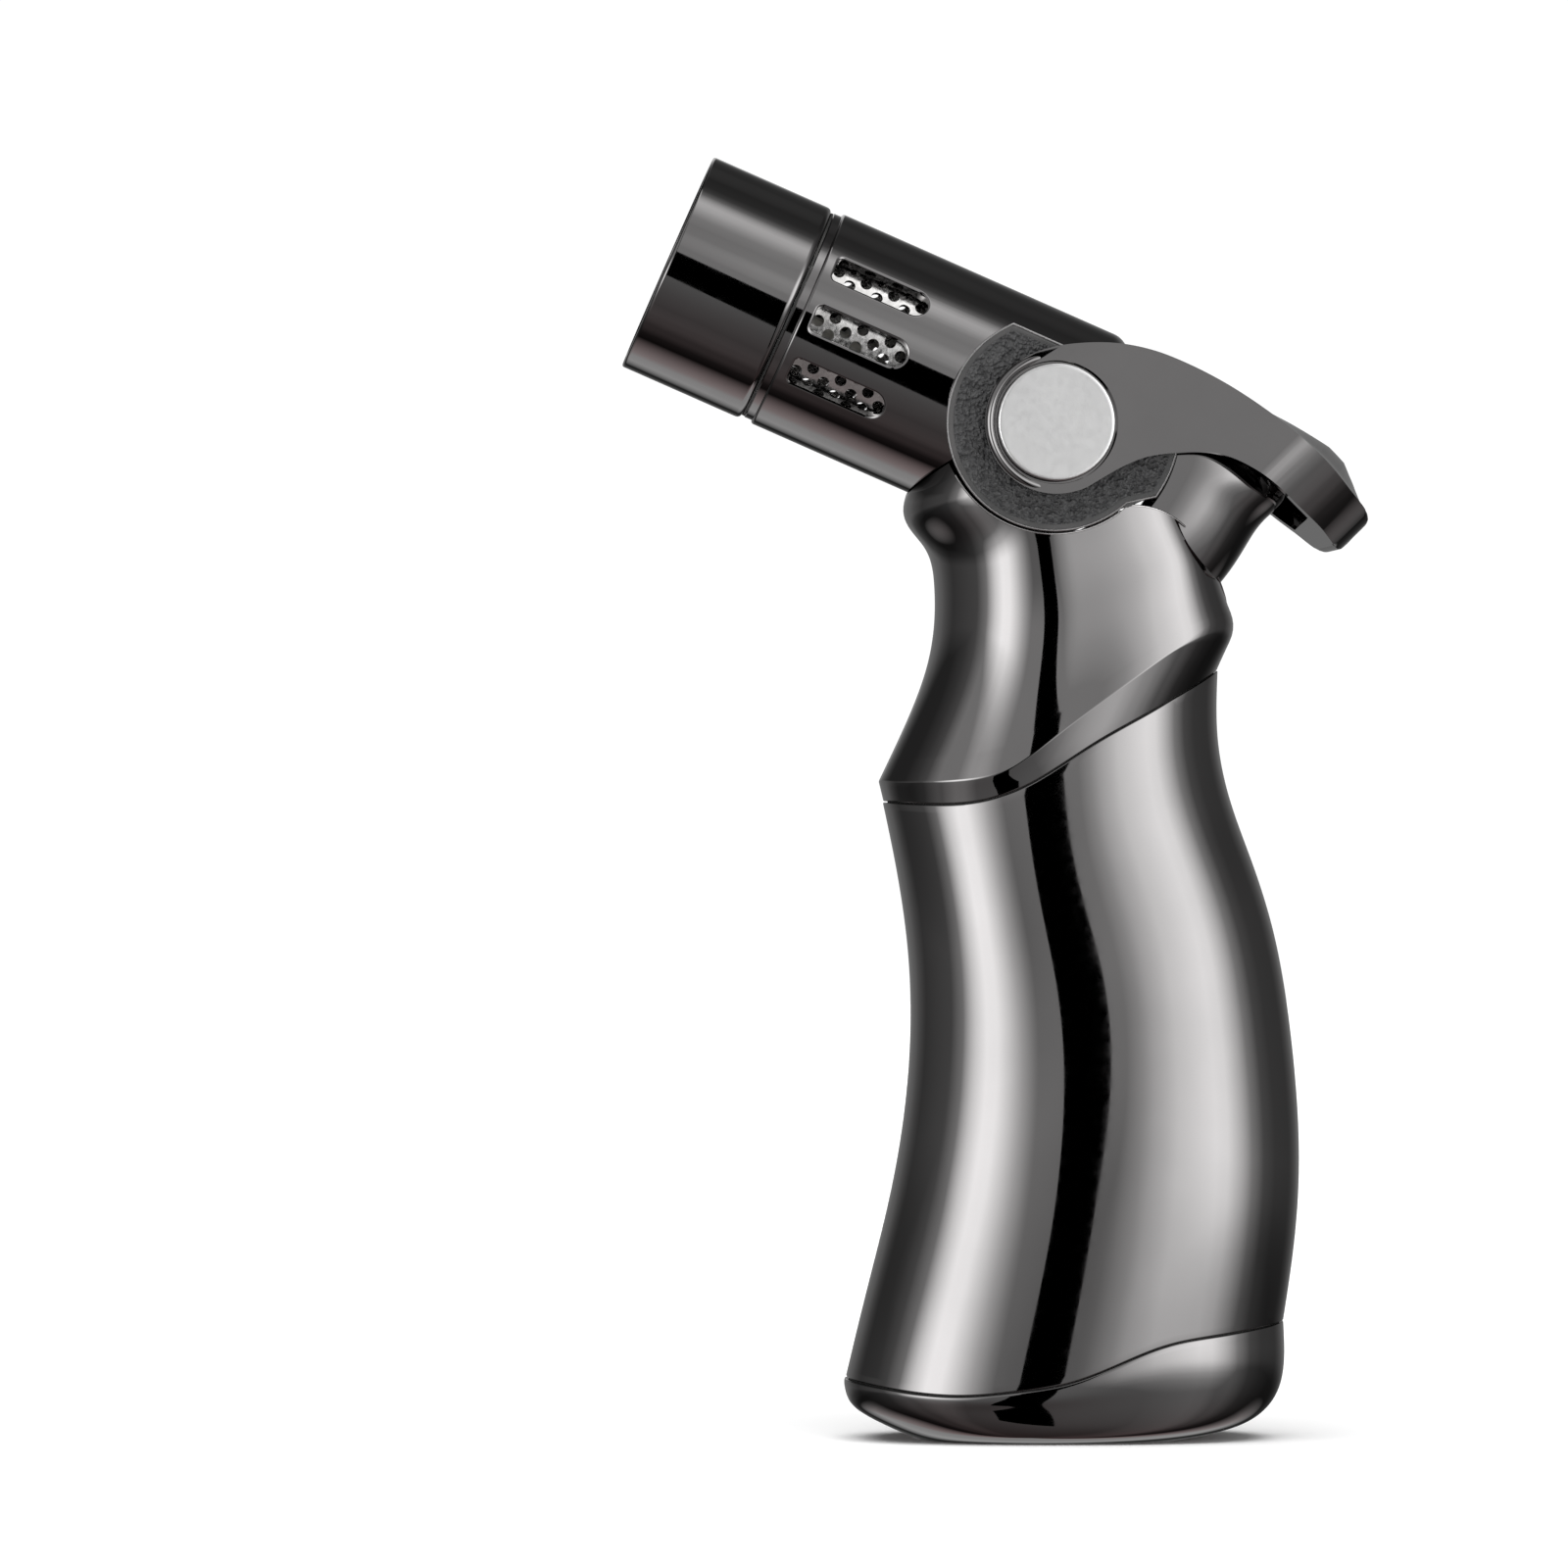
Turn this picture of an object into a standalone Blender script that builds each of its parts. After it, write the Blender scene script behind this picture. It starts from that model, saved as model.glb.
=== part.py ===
"""A hand-held butane torch lighter with four jets, modelled piece by piece.

All sizes below are in millimetres and become metres when a mesh is made. The lighter stands on
its base: +Z is up, the nozzle points to -X and the thumb lever is on the +X side. The origin is
the middle of the flat foot under the base cap.
"""
import math

import bmesh
import bpy
import numpy as np
from mathutils import Matrix, Vector

MM = 0.001
GAP = 0.3

# Barrel: a straight tube whose axis climbs towards the nozzle.
BARREL_TILT = math.radians(23.7)
BARREL_FRONT = Vector((-41.4, 0.0, 133.4))
BARREL_RADIUS = 12.95
BARREL_WALL = 1.2
BARREL_LENGTH = 52.4
BARREL_END_ROUND = 2.8
COLLAR_LENGTH = 14.7
COLLAR_BORE = 11.7
GROOVE_LENGTH = 1.5
GROOVE_DEPTH = 0.35
SLOT_START = 17.4
SLOT_LENGTH = 11.3
SLOT_WIDTH = 3.2
SLOT_CORNER = 0.6
SLOT_PITCH_ANGLE = math.radians(29.0)
LINER_RADIUS = 11.4
LINER_WALL = 0.5
LINER_START = 10.2
LINER_END = 37.0
HOLE_RADIUS = 0.68
HOLE_PITCH = 3.36
HOLE_ROW_PITCH = 1.05

# Burner in the nozzle.
INSERT_RADIUS = 11.4
INSERT_DEPTH = 9.5
CAVITY_WIDTH = 17.4
CAVITY_CORNER = 3.1
CAVITY_DEPTH = 7.0
JET_GRID = 7.8
JET_RADIUS = 2.8
JET_BORE = 2.45
JET_TOP = 3.9
JET_FLANGE_RADIUS = 3.25
DISC_RADIUS = 2.25
DISC_ROOT_RADIUS = 1.5
DISC_HOLE_RADIUS = 0.67
DISC_PETALS = 10
MANIFOLD_RADIUS = 10.6
MANIFOLD_DEPTH = 4.0
ELECTRODE_SIDE = 7.5
ELECTRODE_UP = 1.0

# Thumb lever, its pivot and the plates beside the barrel.
PIVOT = Vector((1.45, 0.0, 114.6))
PIN_RADIUS = 2.0
PLATE_INNER_Y = 13.3
PLATE_OUTER_Y = 14.2
PLATE_RADIUS = 12.1
PLATE_REAR_RADIUS = 14.1
PLATE_TOP = 8.4
ARM_INNER_Y = 14.6
ARM_OUTER_Y = 16.8
EYE_RADIUS = 8.0
EYE_WEB_Y = 15.4
CAP_RADIUS = 6.6
CAP_INNER_Y = 15.7
CAP_OUTER_Y = 17.2
WEB_THICKNESS = 2.2
TAIL_SLOPE = math.radians(45.6)
TAIL_REACH = 33.2
TAIL_CORNER = 13.3
CROWN_HEIGHTS = (0.7, 1.8, 2.8, 1.9, 0.3)
SKIRT_INNER_RADIUS = 14.5
SKIRT_HALF_WIDTH = 11.0
SKIRT_WALL = 1.4

# Side-view lines of the body: (x, z) points that a smooth curve goes through.
HANDLE_FRONT = [(-21.3, 6.0), (-19.4, 14.2), (-16.1, 27.6), (-14.0, 42.0), (-14.1, 55.5), (-16.9, 72.2)]
HANDLE_REAR = [(28.3, 12.0), (30.2, 28.0), (29.4, 45.3), (26.0, 62.3), (21.6, 75.5), (20.9, 81.5), (21.0, 87.2)]
NECK_FRONT = [(-17.4, 74.5), (-14.4, 80.9), (-11.9, 87.6), (-11.0, 94.2), (-12.1, 100.9), (-14.6, 105.3)]
NECK_REAR = [(23.0, 92.0), (21.5, 95.6), (20.0, 100.0), (18.3, 104.0), (16.5, 108.0), (14.5, 111.0)]
BASE_SEAM = [(-21.3, 6.9), (-13.8, 5.8), (-8.3, 5.6), (-2.8, 6.1), (2.4, 6.9), (6.4, 8.2), (13.8, 11.1),
             (20.0, 12.2), (28.5, 13.4)]
NECK_SEAM = [(-16.9, 72.2), (-8.9, 72.0), (-2.5, 73.6), (6.3, 78.9), (11.7, 81.9), (21.0, 87.2)]
CREASE = [(-17.4, 74.5), (-8.9, 74.6), (-4.0, 75.7), (2.5, 80.2), (11.7, 86.9), (16.5, 90.0), (23.0, 92.0)]
HANDLE_HALF_WIDTH = [(0.0, 14.2), (0.35, 14.3), (0.7, 13.8), (1.0, 13.5)]
NECK_HALF_WIDTH = [14.1, 13.6, 13.4, 13.45, 13.7, 13.9]
NECK_TAPER = (0.05, 0.09)
NECK_SQUARENESS = [(2.6, 2.9), (3.2, 4.4), (3.3, 5.2)]
BODY_WALL = 1.6
SIDES = 32

# Inside the handle and neck.
TANK_BOTTOM = 15.0
TANK_TOP = 62.0
TANK_CLEARANCE = 2.4
TANK_WALL = 1.2
LID_THICKNESS = 2.4
SEAL_THICKNESS = 0.8
VALVE_X = -5.0
VALVE_RADIUS = 3.2
VALVE_BOTTOM = 58.0
VALVE_TOP = 80.0
STEM_RADIUS = 0.8
STEM_TOP = 88.4
ROCKER_AXIS = Vector((-1.5, 0.0, 85.75))
ROCKER_PIN_RADIUS = 0.8
PIEZO_X = (7.3, 13.6)
PIEZO_HALF_DEPTH = 3.5
PIEZO_Z = (72.5, 90.2)
PLUNGER_X = (8.6, 12.3)
PLUNGER_HEAD_X = 16.9
PLUNGER_HALF_DEPTH = 2.4
PLUNGER_TOP = 105.2
CHEEK_Y = (3.9, 5.2)
FRAME_Z = 69.0
DIAL_X = -9.5
DIAL_RADIUS = 4.3
REFILL_X = 11.0
REFILL_RADIUS = 3.0


# ---------------------------------------------------------------- curves and outlines

def smooth(points):
    """A natural cubic spline y(x) through points whose first values rise."""
    x, y = np.array(sorted(points), dtype=float).T
    step = np.diff(x)
    count = len(x)
    matrix = np.eye(count)
    right = np.zeros(count)
    for i in range(1, count - 1):
        matrix[i, i - 1:i + 2] = step[i - 1], 2 * (step[i - 1] + step[i]), step[i]
        right[i] = 6 * ((y[i + 1] - y[i]) / step[i] - (y[i] - y[i - 1]) / step[i - 1])
    bend = np.linalg.solve(matrix, right)

    def value(at):
        i = int(np.clip(np.searchsorted(x, at) - 1, 0, count - 2))
        h = step[i]
        a = (x[i + 1] - at) / h
        b = (at - x[i]) / h
        cubic = (a ** 3 - a) * bend[i] + (b ** 3 - b) * bend[i + 1]
        return float(a * y[i] + b * y[i + 1] + cubic * h * h / 6)

    return value


def by_height(points):
    """The curve x(z) of a side-view line given as (x, z) points."""
    return smooth([(z, x) for x, z in points])


def rise_of(line):
    """How far a seam line stands above its own chord, over its share of the way to the rear."""
    (x0, z0), (x1, z1) = line[0], line[-1]
    curve = smooth([((x - x0) / (x1 - x0), z - z0 - (z1 - z0) * (x - x0) / (x1 - x0)) for x, z in line])
    return curve


def blend_rise(first, second, share):
    return lambda s: (1 - share) * first(s) + share * second(s)


def no_rise(share):
    return 0.0


def power(value, exponent):
    return math.copysign(abs(value) ** exponent, value)


def section_ring(front, rear, half_width, rise, inset=0.0, drop=0.0, taper=0.0, squareness=(2.5, 2.5)):
    """A rounded ring round the body along the side-view line from front to rear; a taper widens its
    rear, and the squareness is given for its front half and its rear half."""
    ring = []
    length = rear[0] - front[0]
    for i in range(SIDES):
        angle = 2 * math.pi * i / SIDES
        exponent = 2 / squareness[0 if math.cos(angle) > 0 else 1]
        along = 0.5 * (1 - power(math.cos(angle), exponent))
        x = front[0] + inset + along * (length - 2 * inset)
        share = (x - front[0]) / length
        z = front[1] + (rear[1] - front[1]) * share + rise(share) + drop
        width = (half_width - inset) * (1 + taper * (share - 0.5))
        ring.append((x, width * power(math.sin(angle), exponent), z))
    return ring


def arc(centre, radius, start, end, steps):
    """Points on a circle in a 2-D outline, from start to end in degrees."""
    angles = np.radians(np.linspace(start, end, steps + 1))
    return [(centre[0] + radius * math.cos(a), centre[1] + radius * math.sin(a)) for a in angles]


def rounded_box_outline(half_x, half_y, corner, steps=4):
    outline = []
    for sign_x, sign_y, start in ((1, 1, 0), (-1, 1, 90), (-1, -1, 180), (1, -1, 270)):
        centre = (sign_x * (half_x - corner), sign_y * (half_y - corner))
        outline += arc(centre, corner, start, start + 90, steps)
    return outline


# ---------------------------------------------------------------- meshes and objects

MATERIALS = {}


def material(name, colour, roughness, metallic):
    if name not in MATERIALS:
        finish = bpy.data.materials.new(name)
        finish.use_nodes = True
        shader = finish.node_tree.nodes["Principled BSDF"]
        shader.inputs["Base Color"].default_value = (*colour, 1.0)
        shader.inputs["Roughness"].default_value = roughness
        shader.inputs["Metallic"].default_value = metallic
        MATERIALS[name] = finish
    return MATERIALS[name]


def black_chrome():
    return material("black_chrome", (0.20, 0.195, 0.195), 0.08, 1.0)


def satin_steel():
    return material("satin_steel", (0.62, 0.62, 0.62), 0.32, 1.0)


def bright_steel():
    return material("bright_steel", (0.78, 0.77, 0.75), 0.18, 1.0)


def brass():
    return material("brass", (0.70, 0.52, 0.28), 0.3, 1.0)


def grained_black():
    return material("grained_black", (0.03, 0.03, 0.03), 0.6, 0.0)


def matte_black():
    return material("matte_black", (0.02, 0.02, 0.02), 0.55, 0.0)


def ceramic():
    return material("ceramic", (0.8, 0.78, 0.74), 0.35, 0.0)


def tank_plastic():
    return material("tank_plastic", (0.55, 0.6, 0.62), 0.3, 0.0)


def rubber():
    return material("rubber", (0.04, 0.04, 0.04), 0.7, 0.0)


def pale_plastic():
    return material("pale_plastic", (0.7, 0.68, 0.62), 0.45, 0.0)


def make_object(name, bm, finish, frame=None, origin=(0.0, 0.0, 0.0)):
    """Turn a bmesh in millimetres into a smooth-shaded object in metres with a chosen origin."""
    bmesh.ops.recalc_face_normals(bm, faces=bm.faces)
    if frame is not None:
        bmesh.ops.transform(bm, matrix=frame, verts=bm.verts)
    bmesh.ops.translate(bm, vec=-Vector(origin), verts=bm.verts)
    bmesh.ops.scale(bm, vec=(MM, MM, MM), verts=bm.verts)
    mesh = bpy.data.meshes.new(name)
    bm.to_mesh(mesh)
    bm.free()
    mesh.shade_smooth()
    mesh.set_sharp_from_angle(angle=math.radians(35))
    obj = bpy.data.objects.new(name, mesh)
    obj.location = Vector(origin) * MM
    bpy.context.scene.collection.objects.link(obj)
    if finish is None:
        obj.hide_render = True
        obj.display_type = 'WIRE'
    else:
        mesh.materials.append(finish)
    return obj


def boolean(obj, other, operation='DIFFERENCE'):
    modifier = obj.modifiers.new(f"{operation.lower()}_{other.name}", 'BOOLEAN')
    modifier.operation = operation
    modifier.solver = 'EXACT'
    modifier.object = other
    return obj


def loft(rings, hollow=False):
    """A skin over rings of equal count: closed by end faces, or round through a hollow middle."""
    bm = bmesh.new()
    loops = [[bm.verts.new(point) for point in ring] for ring in rings]
    pairs = list(zip(loops, loops[1:]))
    if hollow:
        pairs.append((loops[-1], loops[0]))
    for lower, upper in pairs:
        for i in range(len(lower)):
            j = (i + 1) % len(lower)
            bm.faces.new((lower[i], lower[j], upper[j], upper[i]))
    if not hollow:
        bm.faces.new(loops[0][::-1])
        bm.faces.new(loops[-1])
    return bm


def lathe(profile, sides=32):
    """A closed (radius, height) outline turned about +Z; a radius of 0 is a point on the axis."""
    bm = bmesh.new()
    rings = []
    for radius, height in profile:
        if radius == 0:
            rings.append([bm.verts.new((0, 0, height))])
            continue
        turn = [2 * math.pi * i / sides for i in range(sides)]
        rings.append([bm.verts.new((radius * math.cos(a), radius * math.sin(a), height)) for a in turn])
    for first, second in zip(rings, rings[1:] + rings[:1]):
        if len(first) == 1 and len(second) == 1:
            continue
        for i in range(sides):
            j = (i + 1) % sides
            if len(first) == 1:
                bm.faces.new((first[0], second[i], second[j]))
            elif len(second) == 1:
                bm.faces.new((first[i], second[0], first[j]))
            else:
                bm.faces.new((first[i], second[i], second[j], first[j]))
    return bm


def tube_outline(inner, outer, low, high):
    return [(inner, low), (outer, low), (outer, high), (inner, high)]


def rod_outline(radius, low, high):
    return [(0, low), (radius, low), (radius, high), (0, high)]


def prism(outline, low, high):
    """An outline in XZ pushed along Y, or, through a frame, along any other direction."""
    return loft([[(x, y, z) for x, z in outline] for y in (low, high)])


def upright(outline, low, high):
    """An outline in XY pushed along Z."""
    return loft([[(x, y, z) for x, y in outline] for z in (low, high)])


def box(x, y, z):
    outline = [(x[0], y[0]), (x[1], y[0]), (x[1], y[1]), (x[0], y[1])]
    return upright(outline, z[0], z[1])


def pipe(points, radius, sides=8, steps=4):
    """A round cord along a smooth curve through its points."""
    path = []
    ends = [2 * points[0] - points[1]] + points + [2 * points[-1] - points[-2]]
    for a, b, c, d in zip(ends, ends[1:], ends[2:], ends[3:]):
        for k in range(steps):
            t = k / steps
            path.append(0.5 * (2 * b + (c - a) * t + (2 * a - 5 * b + 4 * c - d) * t ** 2
                               + (3 * b - a - 3 * c + d) * t ** 3))
    path.append(points[-1])
    side = Vector((0, 1, 0))
    rings = []
    for i, point in enumerate(path):
        ahead = (path[min(i + 1, len(path) - 1)] - path[max(i - 1, 0)]).normalized()
        across = ahead.cross(side).normalized()
        side = across.cross(ahead)
        turn = [2 * math.pi * k / sides for k in range(sides)]
        rings.append([point + radius * (math.cos(a) * across + math.sin(a) * side) for a in turn])
    return loft(rings)


def spring(radius, wire, low, high, turns, sides=5, steps=12):
    """A round wire wound about +Z with closed ends."""
    rings = []
    for i in range(turns * steps + 1):
        angle = 2 * math.pi * i / steps
        height = low + wire + (high - low - 2 * wire) * i / (turns * steps)
        outward = Vector((math.cos(angle), math.sin(angle), 0))
        centre = outward * radius + Vector((0, 0, height))
        turn = [2 * math.pi * k / sides for k in range(sides)]
        rings.append([centre + wire * (math.cos(a) * outward + math.sin(a) * Vector((0, 0, 1))) for a in turn])
    return loft(rings)


def at(x, y, z):
    return Matrix.Translation((x, y, z))


def barrel_frame():
    """Local +Z runs back along the barrel from its front rim; local -X is its upper side."""
    return Matrix.Translation(BARREL_FRONT) @ Matrix.Rotation(math.pi / 2 + BARREL_TILT, 4, 'Y')


def in_barrel(along, side, up):
    return barrel_frame() @ Vector((-up, side, along))


def across_frame(centre):
    """Local +Z becomes world +Y, for round pieces that lie across the lighter."""
    return Matrix.Translation(centre) @ Matrix.Rotation(-math.pi / 2, 4, 'X')


def cylinder_across(name, centre, radius, low, high, finish=None, sides=32):
    return make_object(name, lathe(rod_outline(radius, low, high), sides), finish, across_frame(centre))


# ---------------------------------------------------------------- barrel

def slot_angles():
    """Turns about the barrel's axis, from its upper side, of the six slots."""
    for side in (90, 270):
        for step in (-1, 0, 1):
            yield math.radians(side) + step * SLOT_PITCH_ANGLE


def radial_frame(angle):
    """Local +X points out of the barrel at a turn from its upper side, +Z runs back along it."""
    return barrel_frame() @ Matrix.Rotation(math.pi + angle, 4, 'Z')


def nozzle_collar():
    edge = 1.0
    profile = [(COLLAR_BORE, 0.25), (COLLAR_BORE + 0.25, 0), (BARREL_RADIUS - 0.25, 0), (BARREL_RADIUS, 0.25)]
    profile += [(BARREL_RADIUS, COLLAR_LENGTH - edge), (BARREL_RADIUS - 0.3, COLLAR_LENGTH - 0.3)]
    profile += [(BARREL_RADIUS - edge, COLLAR_LENGTH), (COLLAR_BORE, COLLAR_LENGTH)]
    make_object("nozzle_collar", lathe(profile, 40), black_chrome(), barrel_frame())


def slot_cutter():
    half = SLOT_WIDTH / 2
    outline = arc((0, SLOT_START + SLOT_LENGTH - half), half, 0, 180, 6)
    outline += arc((SLOT_CORNER - half, SLOT_START + SLOT_CORNER), SLOT_CORNER, 180, 270, 3)
    outline += arc((half - SLOT_CORNER, SLOT_START + SLOT_CORNER), SLOT_CORNER, 270, 360, 3)
    joined = bmesh.new()
    for angle in slot_angles():
        turned = loft([[(x, y, z) for y, z in outline] for x in (LINER_RADIUS, BARREL_RADIUS + 2)])
        bmesh.ops.transform(turned, matrix=radial_frame(angle), verts=turned.verts)
        part = bpy.data.meshes.new("slot")
        turned.to_mesh(part)
        joined.from_mesh(part)
        turned.free()
    return make_object("slot_cutter", joined, None)


def barrel_shell():
    inner = BARREL_RADIUS - BARREL_WALL
    start = COLLAR_LENGTH + GAP
    shoulder = COLLAR_LENGTH + GROOVE_LENGTH
    round_centre = (BARREL_RADIUS - BARREL_END_ROUND, BARREL_LENGTH - BARREL_END_ROUND)
    profile = [(inner, start), (BARREL_RADIUS - GROOVE_DEPTH, start), (BARREL_RADIUS - GROOVE_DEPTH, shoulder)]
    profile += [(BARREL_RADIUS, shoulder + 0.3)] + arc(round_centre, BARREL_END_ROUND, 0, 90, 4)
    profile += [(2.0, BARREL_LENGTH), (2.0, BARREL_LENGTH - BARREL_WALL), (inner, BARREL_LENGTH - BARREL_WALL)]
    shell = make_object("barrel_shell", lathe(profile, 40), black_chrome(), barrel_frame())
    boolean(shell, slot_cutter())
    boolean(shell, cylinder_across("barrel_pin_hole", PIVOT, PIN_RADIUS + GAP, -16, 16))
    boolean(shell, wire_passage("barrel_passage", 39.5, 15.0))


def wire_passage(name, start, depth):
    """The opening under the barrel's rear that the gas tube and the ignition wire go through."""
    return make_object(name, box((9.5, depth), (-5.5, 5.5), (start, 46.0)), None, barrel_frame())


def mesh_liner():
    profile = tube_outline(LINER_RADIUS - LINER_WALL, LINER_RADIUS, LINER_START, LINER_END)
    liner = make_object("mesh_liner", lathe(profile, 40), bright_steel(), barrel_frame())
    holes = bmesh.new()
    turn = HOLE_ROW_PITCH / LINER_RADIUS
    for angle in slot_angles():
        for row in (-1, 0, 1):
            for i in range(3 - abs(row)):
                along = SLOT_START + SLOT_LENGTH / 2 + (i - (2 - abs(row)) / 2) * HOLE_PITCH
                ring = arc((0, along), HOLE_RADIUS, 30, 330, 5)
                hole = loft([[(x, y, z) for y, z in ring] for x in (LINER_RADIUS - 2, LINER_RADIUS + 1)])
                bmesh.ops.transform(hole, matrix=radial_frame(angle + row * turn), verts=hole.verts)
                part = bpy.data.meshes.new("hole")
                hole.to_mesh(part)
                holes.from_mesh(part)
                hole.free()
    boolean(liner, make_object("hole_cutter", holes, None))


def jet_places():
    half = JET_GRID / 2
    return [(-half, -half), (-half, half), (half, -half), (half, half)]


def burner_insert():
    insert = make_object("burner_insert", lathe(rod_outline(INSERT_RADIUS, 0.15, INSERT_DEPTH), 40), matte_black(),
                         barrel_frame())
    electrode_hole = electrode_rod(1.05, CAVITY_DEPTH - 1, INSERT_DEPTH + 1)
    boolean(insert, make_object("insert_electrode_hole", electrode_hole, None))
    outline = rounded_box_outline(CAVITY_WIDTH / 2, CAVITY_WIDTH / 2, CAVITY_CORNER)
    boolean(insert, make_object("cavity_cutter", upright(outline, -2, CAVITY_DEPTH), None, barrel_frame()))
    for i, (x, y) in enumerate(jet_places()):
        hole = lathe(rod_outline(JET_RADIUS + GAP, CAVITY_DEPTH - 1, INSERT_DEPTH + 1), 18)
        boolean(insert, make_object(f"jet_hole_{i + 1}", hole, None, barrel_frame() @ at(x, y, 0)))
    screw_hole = lathe(rod_outline(1.3, CAVITY_DEPTH - 1, INSERT_DEPTH + 1), 16)
    boolean(insert, make_object("insert_screw_hole", screw_hole, None, barrel_frame()))


def electrode_rod(radius, low, high, sides=12):
    """A rod on the electrode's slanted line, from low to high along the barrel."""
    bm = lathe(rod_outline(radius, low, high), sides)
    lean = Matrix.Shear('XY', 4, (0.0, 0.12))
    shift = at(-ELECTRODE_UP, ELECTRODE_SIDE - 0.12 * CAVITY_DEPTH, 0)
    bmesh.ops.transform(bm, matrix=barrel_frame() @ shift @ lean, verts=bm.verts)
    return bm


def jets():
    for i, (x, y) in enumerate(jet_places()):
        frame = barrel_frame() @ at(x, y, 0)
        flange = CAVITY_DEPTH - GAP
        profile = [(JET_BORE, JET_TOP), (JET_RADIUS, JET_TOP), (JET_RADIUS, flange - 0.7)]
        profile += [(JET_FLANGE_RADIUS, flange - 0.7), (JET_FLANGE_RADIUS, flange), (JET_RADIUS, flange)]
        profile += [(JET_RADIUS, INSERT_DEPTH), (0.6, INSERT_DEPTH)]
        profile += [(0.6, INSERT_DEPTH - 1), (JET_BORE, INSERT_DEPTH - 1)]
        make_object(f"jet_tube_{i + 1}", lathe(profile, 18), brass(), frame)
        star_disc(i + 1, frame)


def star_disc(number, frame):
    outline = []
    for petal in range(DISC_PETALS):
        for share, radius in ((-0.3, DISC_RADIUS), (0.3, DISC_RADIUS), (0.5, DISC_ROOT_RADIUS)):
            angle = 2 * math.pi * (petal + share) / DISC_PETALS
            outline.append((radius * math.cos(angle), radius * math.sin(angle)))
    disc = make_object(f"flame_disc_{number}", upright(outline, JET_TOP + 0.2, JET_TOP + 1.0), bright_steel(), frame)
    hole = lathe(rod_outline(DISC_HOLE_RADIUS, JET_TOP - 1, JET_TOP + 2), 12)
    boolean(disc, make_object(f"disc_hole_{number}", hole, None, frame))


def burner_back():
    top = INSERT_DEPTH + GAP
    bottom = top + MANIFOLD_DEPTH
    profile = [(0, top), (MANIFOLD_RADIUS, top), (MANIFOLD_RADIUS, bottom), (2.6, bottom), (2.6, bottom + 2)]
    manifold = make_object("gas_manifold", lathe(profile + [(0, bottom + 2)], 32), satin_steel(), barrel_frame())
    boolean(manifold, make_object("manifold_electrode_hole", electrode_rod(1.1, 5, 18), None))
    bore = lathe(rod_outline(1.3, top - 1, top + 2.8), 16)
    boolean(manifold, make_object("manifold_bore", bore, None, barrel_frame()))
    head = CAVITY_DEPTH - GAP
    profile = [(0, head - 0.4), (0.7, head - 0.9), (1.8, head - 0.9), (1.8, head), (1.0, head)]
    profile += [(1.0, top + 2.4), (0, top + 2.4)]
    make_object("burner_screw", lathe(profile, 16), satin_steel(), barrel_frame())
    make_object("electrode_insulator", electrode_rod(0.8, 4.9, 14.2), ceramic())
    tip = [in_barrel(4.6, 7.2, 1.0), in_barrel(4.2, 7.0, 1.2), in_barrel(3.9, 6.5, 1.7)]
    make_object("electrode_tip", pipe(tip, 0.25, 6), bright_steel())


# ---------------------------------------------------------------- neck, handle and base

def neck_levels(inset=0.0, top=1.0):
    """Rings up the neck, from its seam over the crease to the ears beside the barrel."""
    front_x = by_height(NECK_FRONT)
    rear_x = by_height(NECK_REAR)
    seam_rise = rise_of(NECK_SEAM)
    crease_rise = rise_of(CREASE)
    seam_front, seam_rear = NECK_SEAM[0], NECK_SEAM[-1]
    rings = [section_ring(seam_front, seam_rear, HANDLE_HALF_WIDTH[-1][1], seam_rise, inset, GAP / 2)]
    count = 7
    for i in range(count + 1):
        share = top * i / count
        front_z = CREASE[0][1] + share * (NECK_FRONT[-1][1] - CREASE[0][1])
        rear_z = CREASE[-1][1] + share * (NECK_REAR[-1][1] - CREASE[-1][1])
        width = smooth(list(zip(np.linspace(0, 1, len(NECK_HALF_WIDTH)), NECK_HALF_WIDTH)))(share)
        rise = blend_rise(crease_rise, no_rise, min(1.0, 1.4 * share))
        taper = NECK_TAPER[0] + share * (NECK_TAPER[1] - NECK_TAPER[0])
        front = (front_x(front_z), front_z)
        rear = (rear_x(rear_z), rear_z)
        squareness = tuple(np.interp(share, (0, 0.4, 1), column) for column in zip(*NECK_SQUARENESS))
        rings.append(section_ring(front, rear, width, rise, inset, 0.0, taper, squareness))
    return rings


def neck_housing():
    outer = neck_levels()
    for front, rear, half_width in (((-14.3, 107.0), (14.2, 111.6), 14.0), ((-12.4, 110.9), (13.5, 112.5), 13.9)):
        outer.append(section_ring(front, rear, half_width, no_rise, 0.0, 0.0, NECK_TAPER[1], NECK_SQUARENESS[-1]))
    inner = neck_levels(BODY_WALL, 0.86)
    housing = make_object("neck_housing", loft(inner[::-1] + outer), black_chrome())
    boolean(housing, make_object("barrel_seat", lathe(rod_outline(BARREL_RADIUS + GAP, 8, BARREL_LENGTH + GAP), 48),
                                 None, barrel_frame()))
    boolean(housing, cylinder_across("plate_seat", PIVOT, PLATE_RADIUS + GAP, -20, 20, sides=48))
    boolean(housing, wire_passage("neck_passage", 41.0, 17.0))
    slope = [(7.2, -9.5), (8.6, -9.2), (11.5, -9.55), (14.1, -10.8), (16.5, -13.2), (18.9, -16.8), (20.3, -19.7)]
    slope += [(40, -19.7), (40, 30), (-20, 30), (-20, -3.7), (7.2, -3.7)]
    boolean(housing, make_object("neck_top_cut", prism(slope, -20, 20), None, Matrix.Translation(PIVOT)))
    boolean(housing, make_object("skirt_path", skirt_mesh(0.45, -36, -72, closed=True), None,
                                 Matrix.Translation(PIVOT)))


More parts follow.
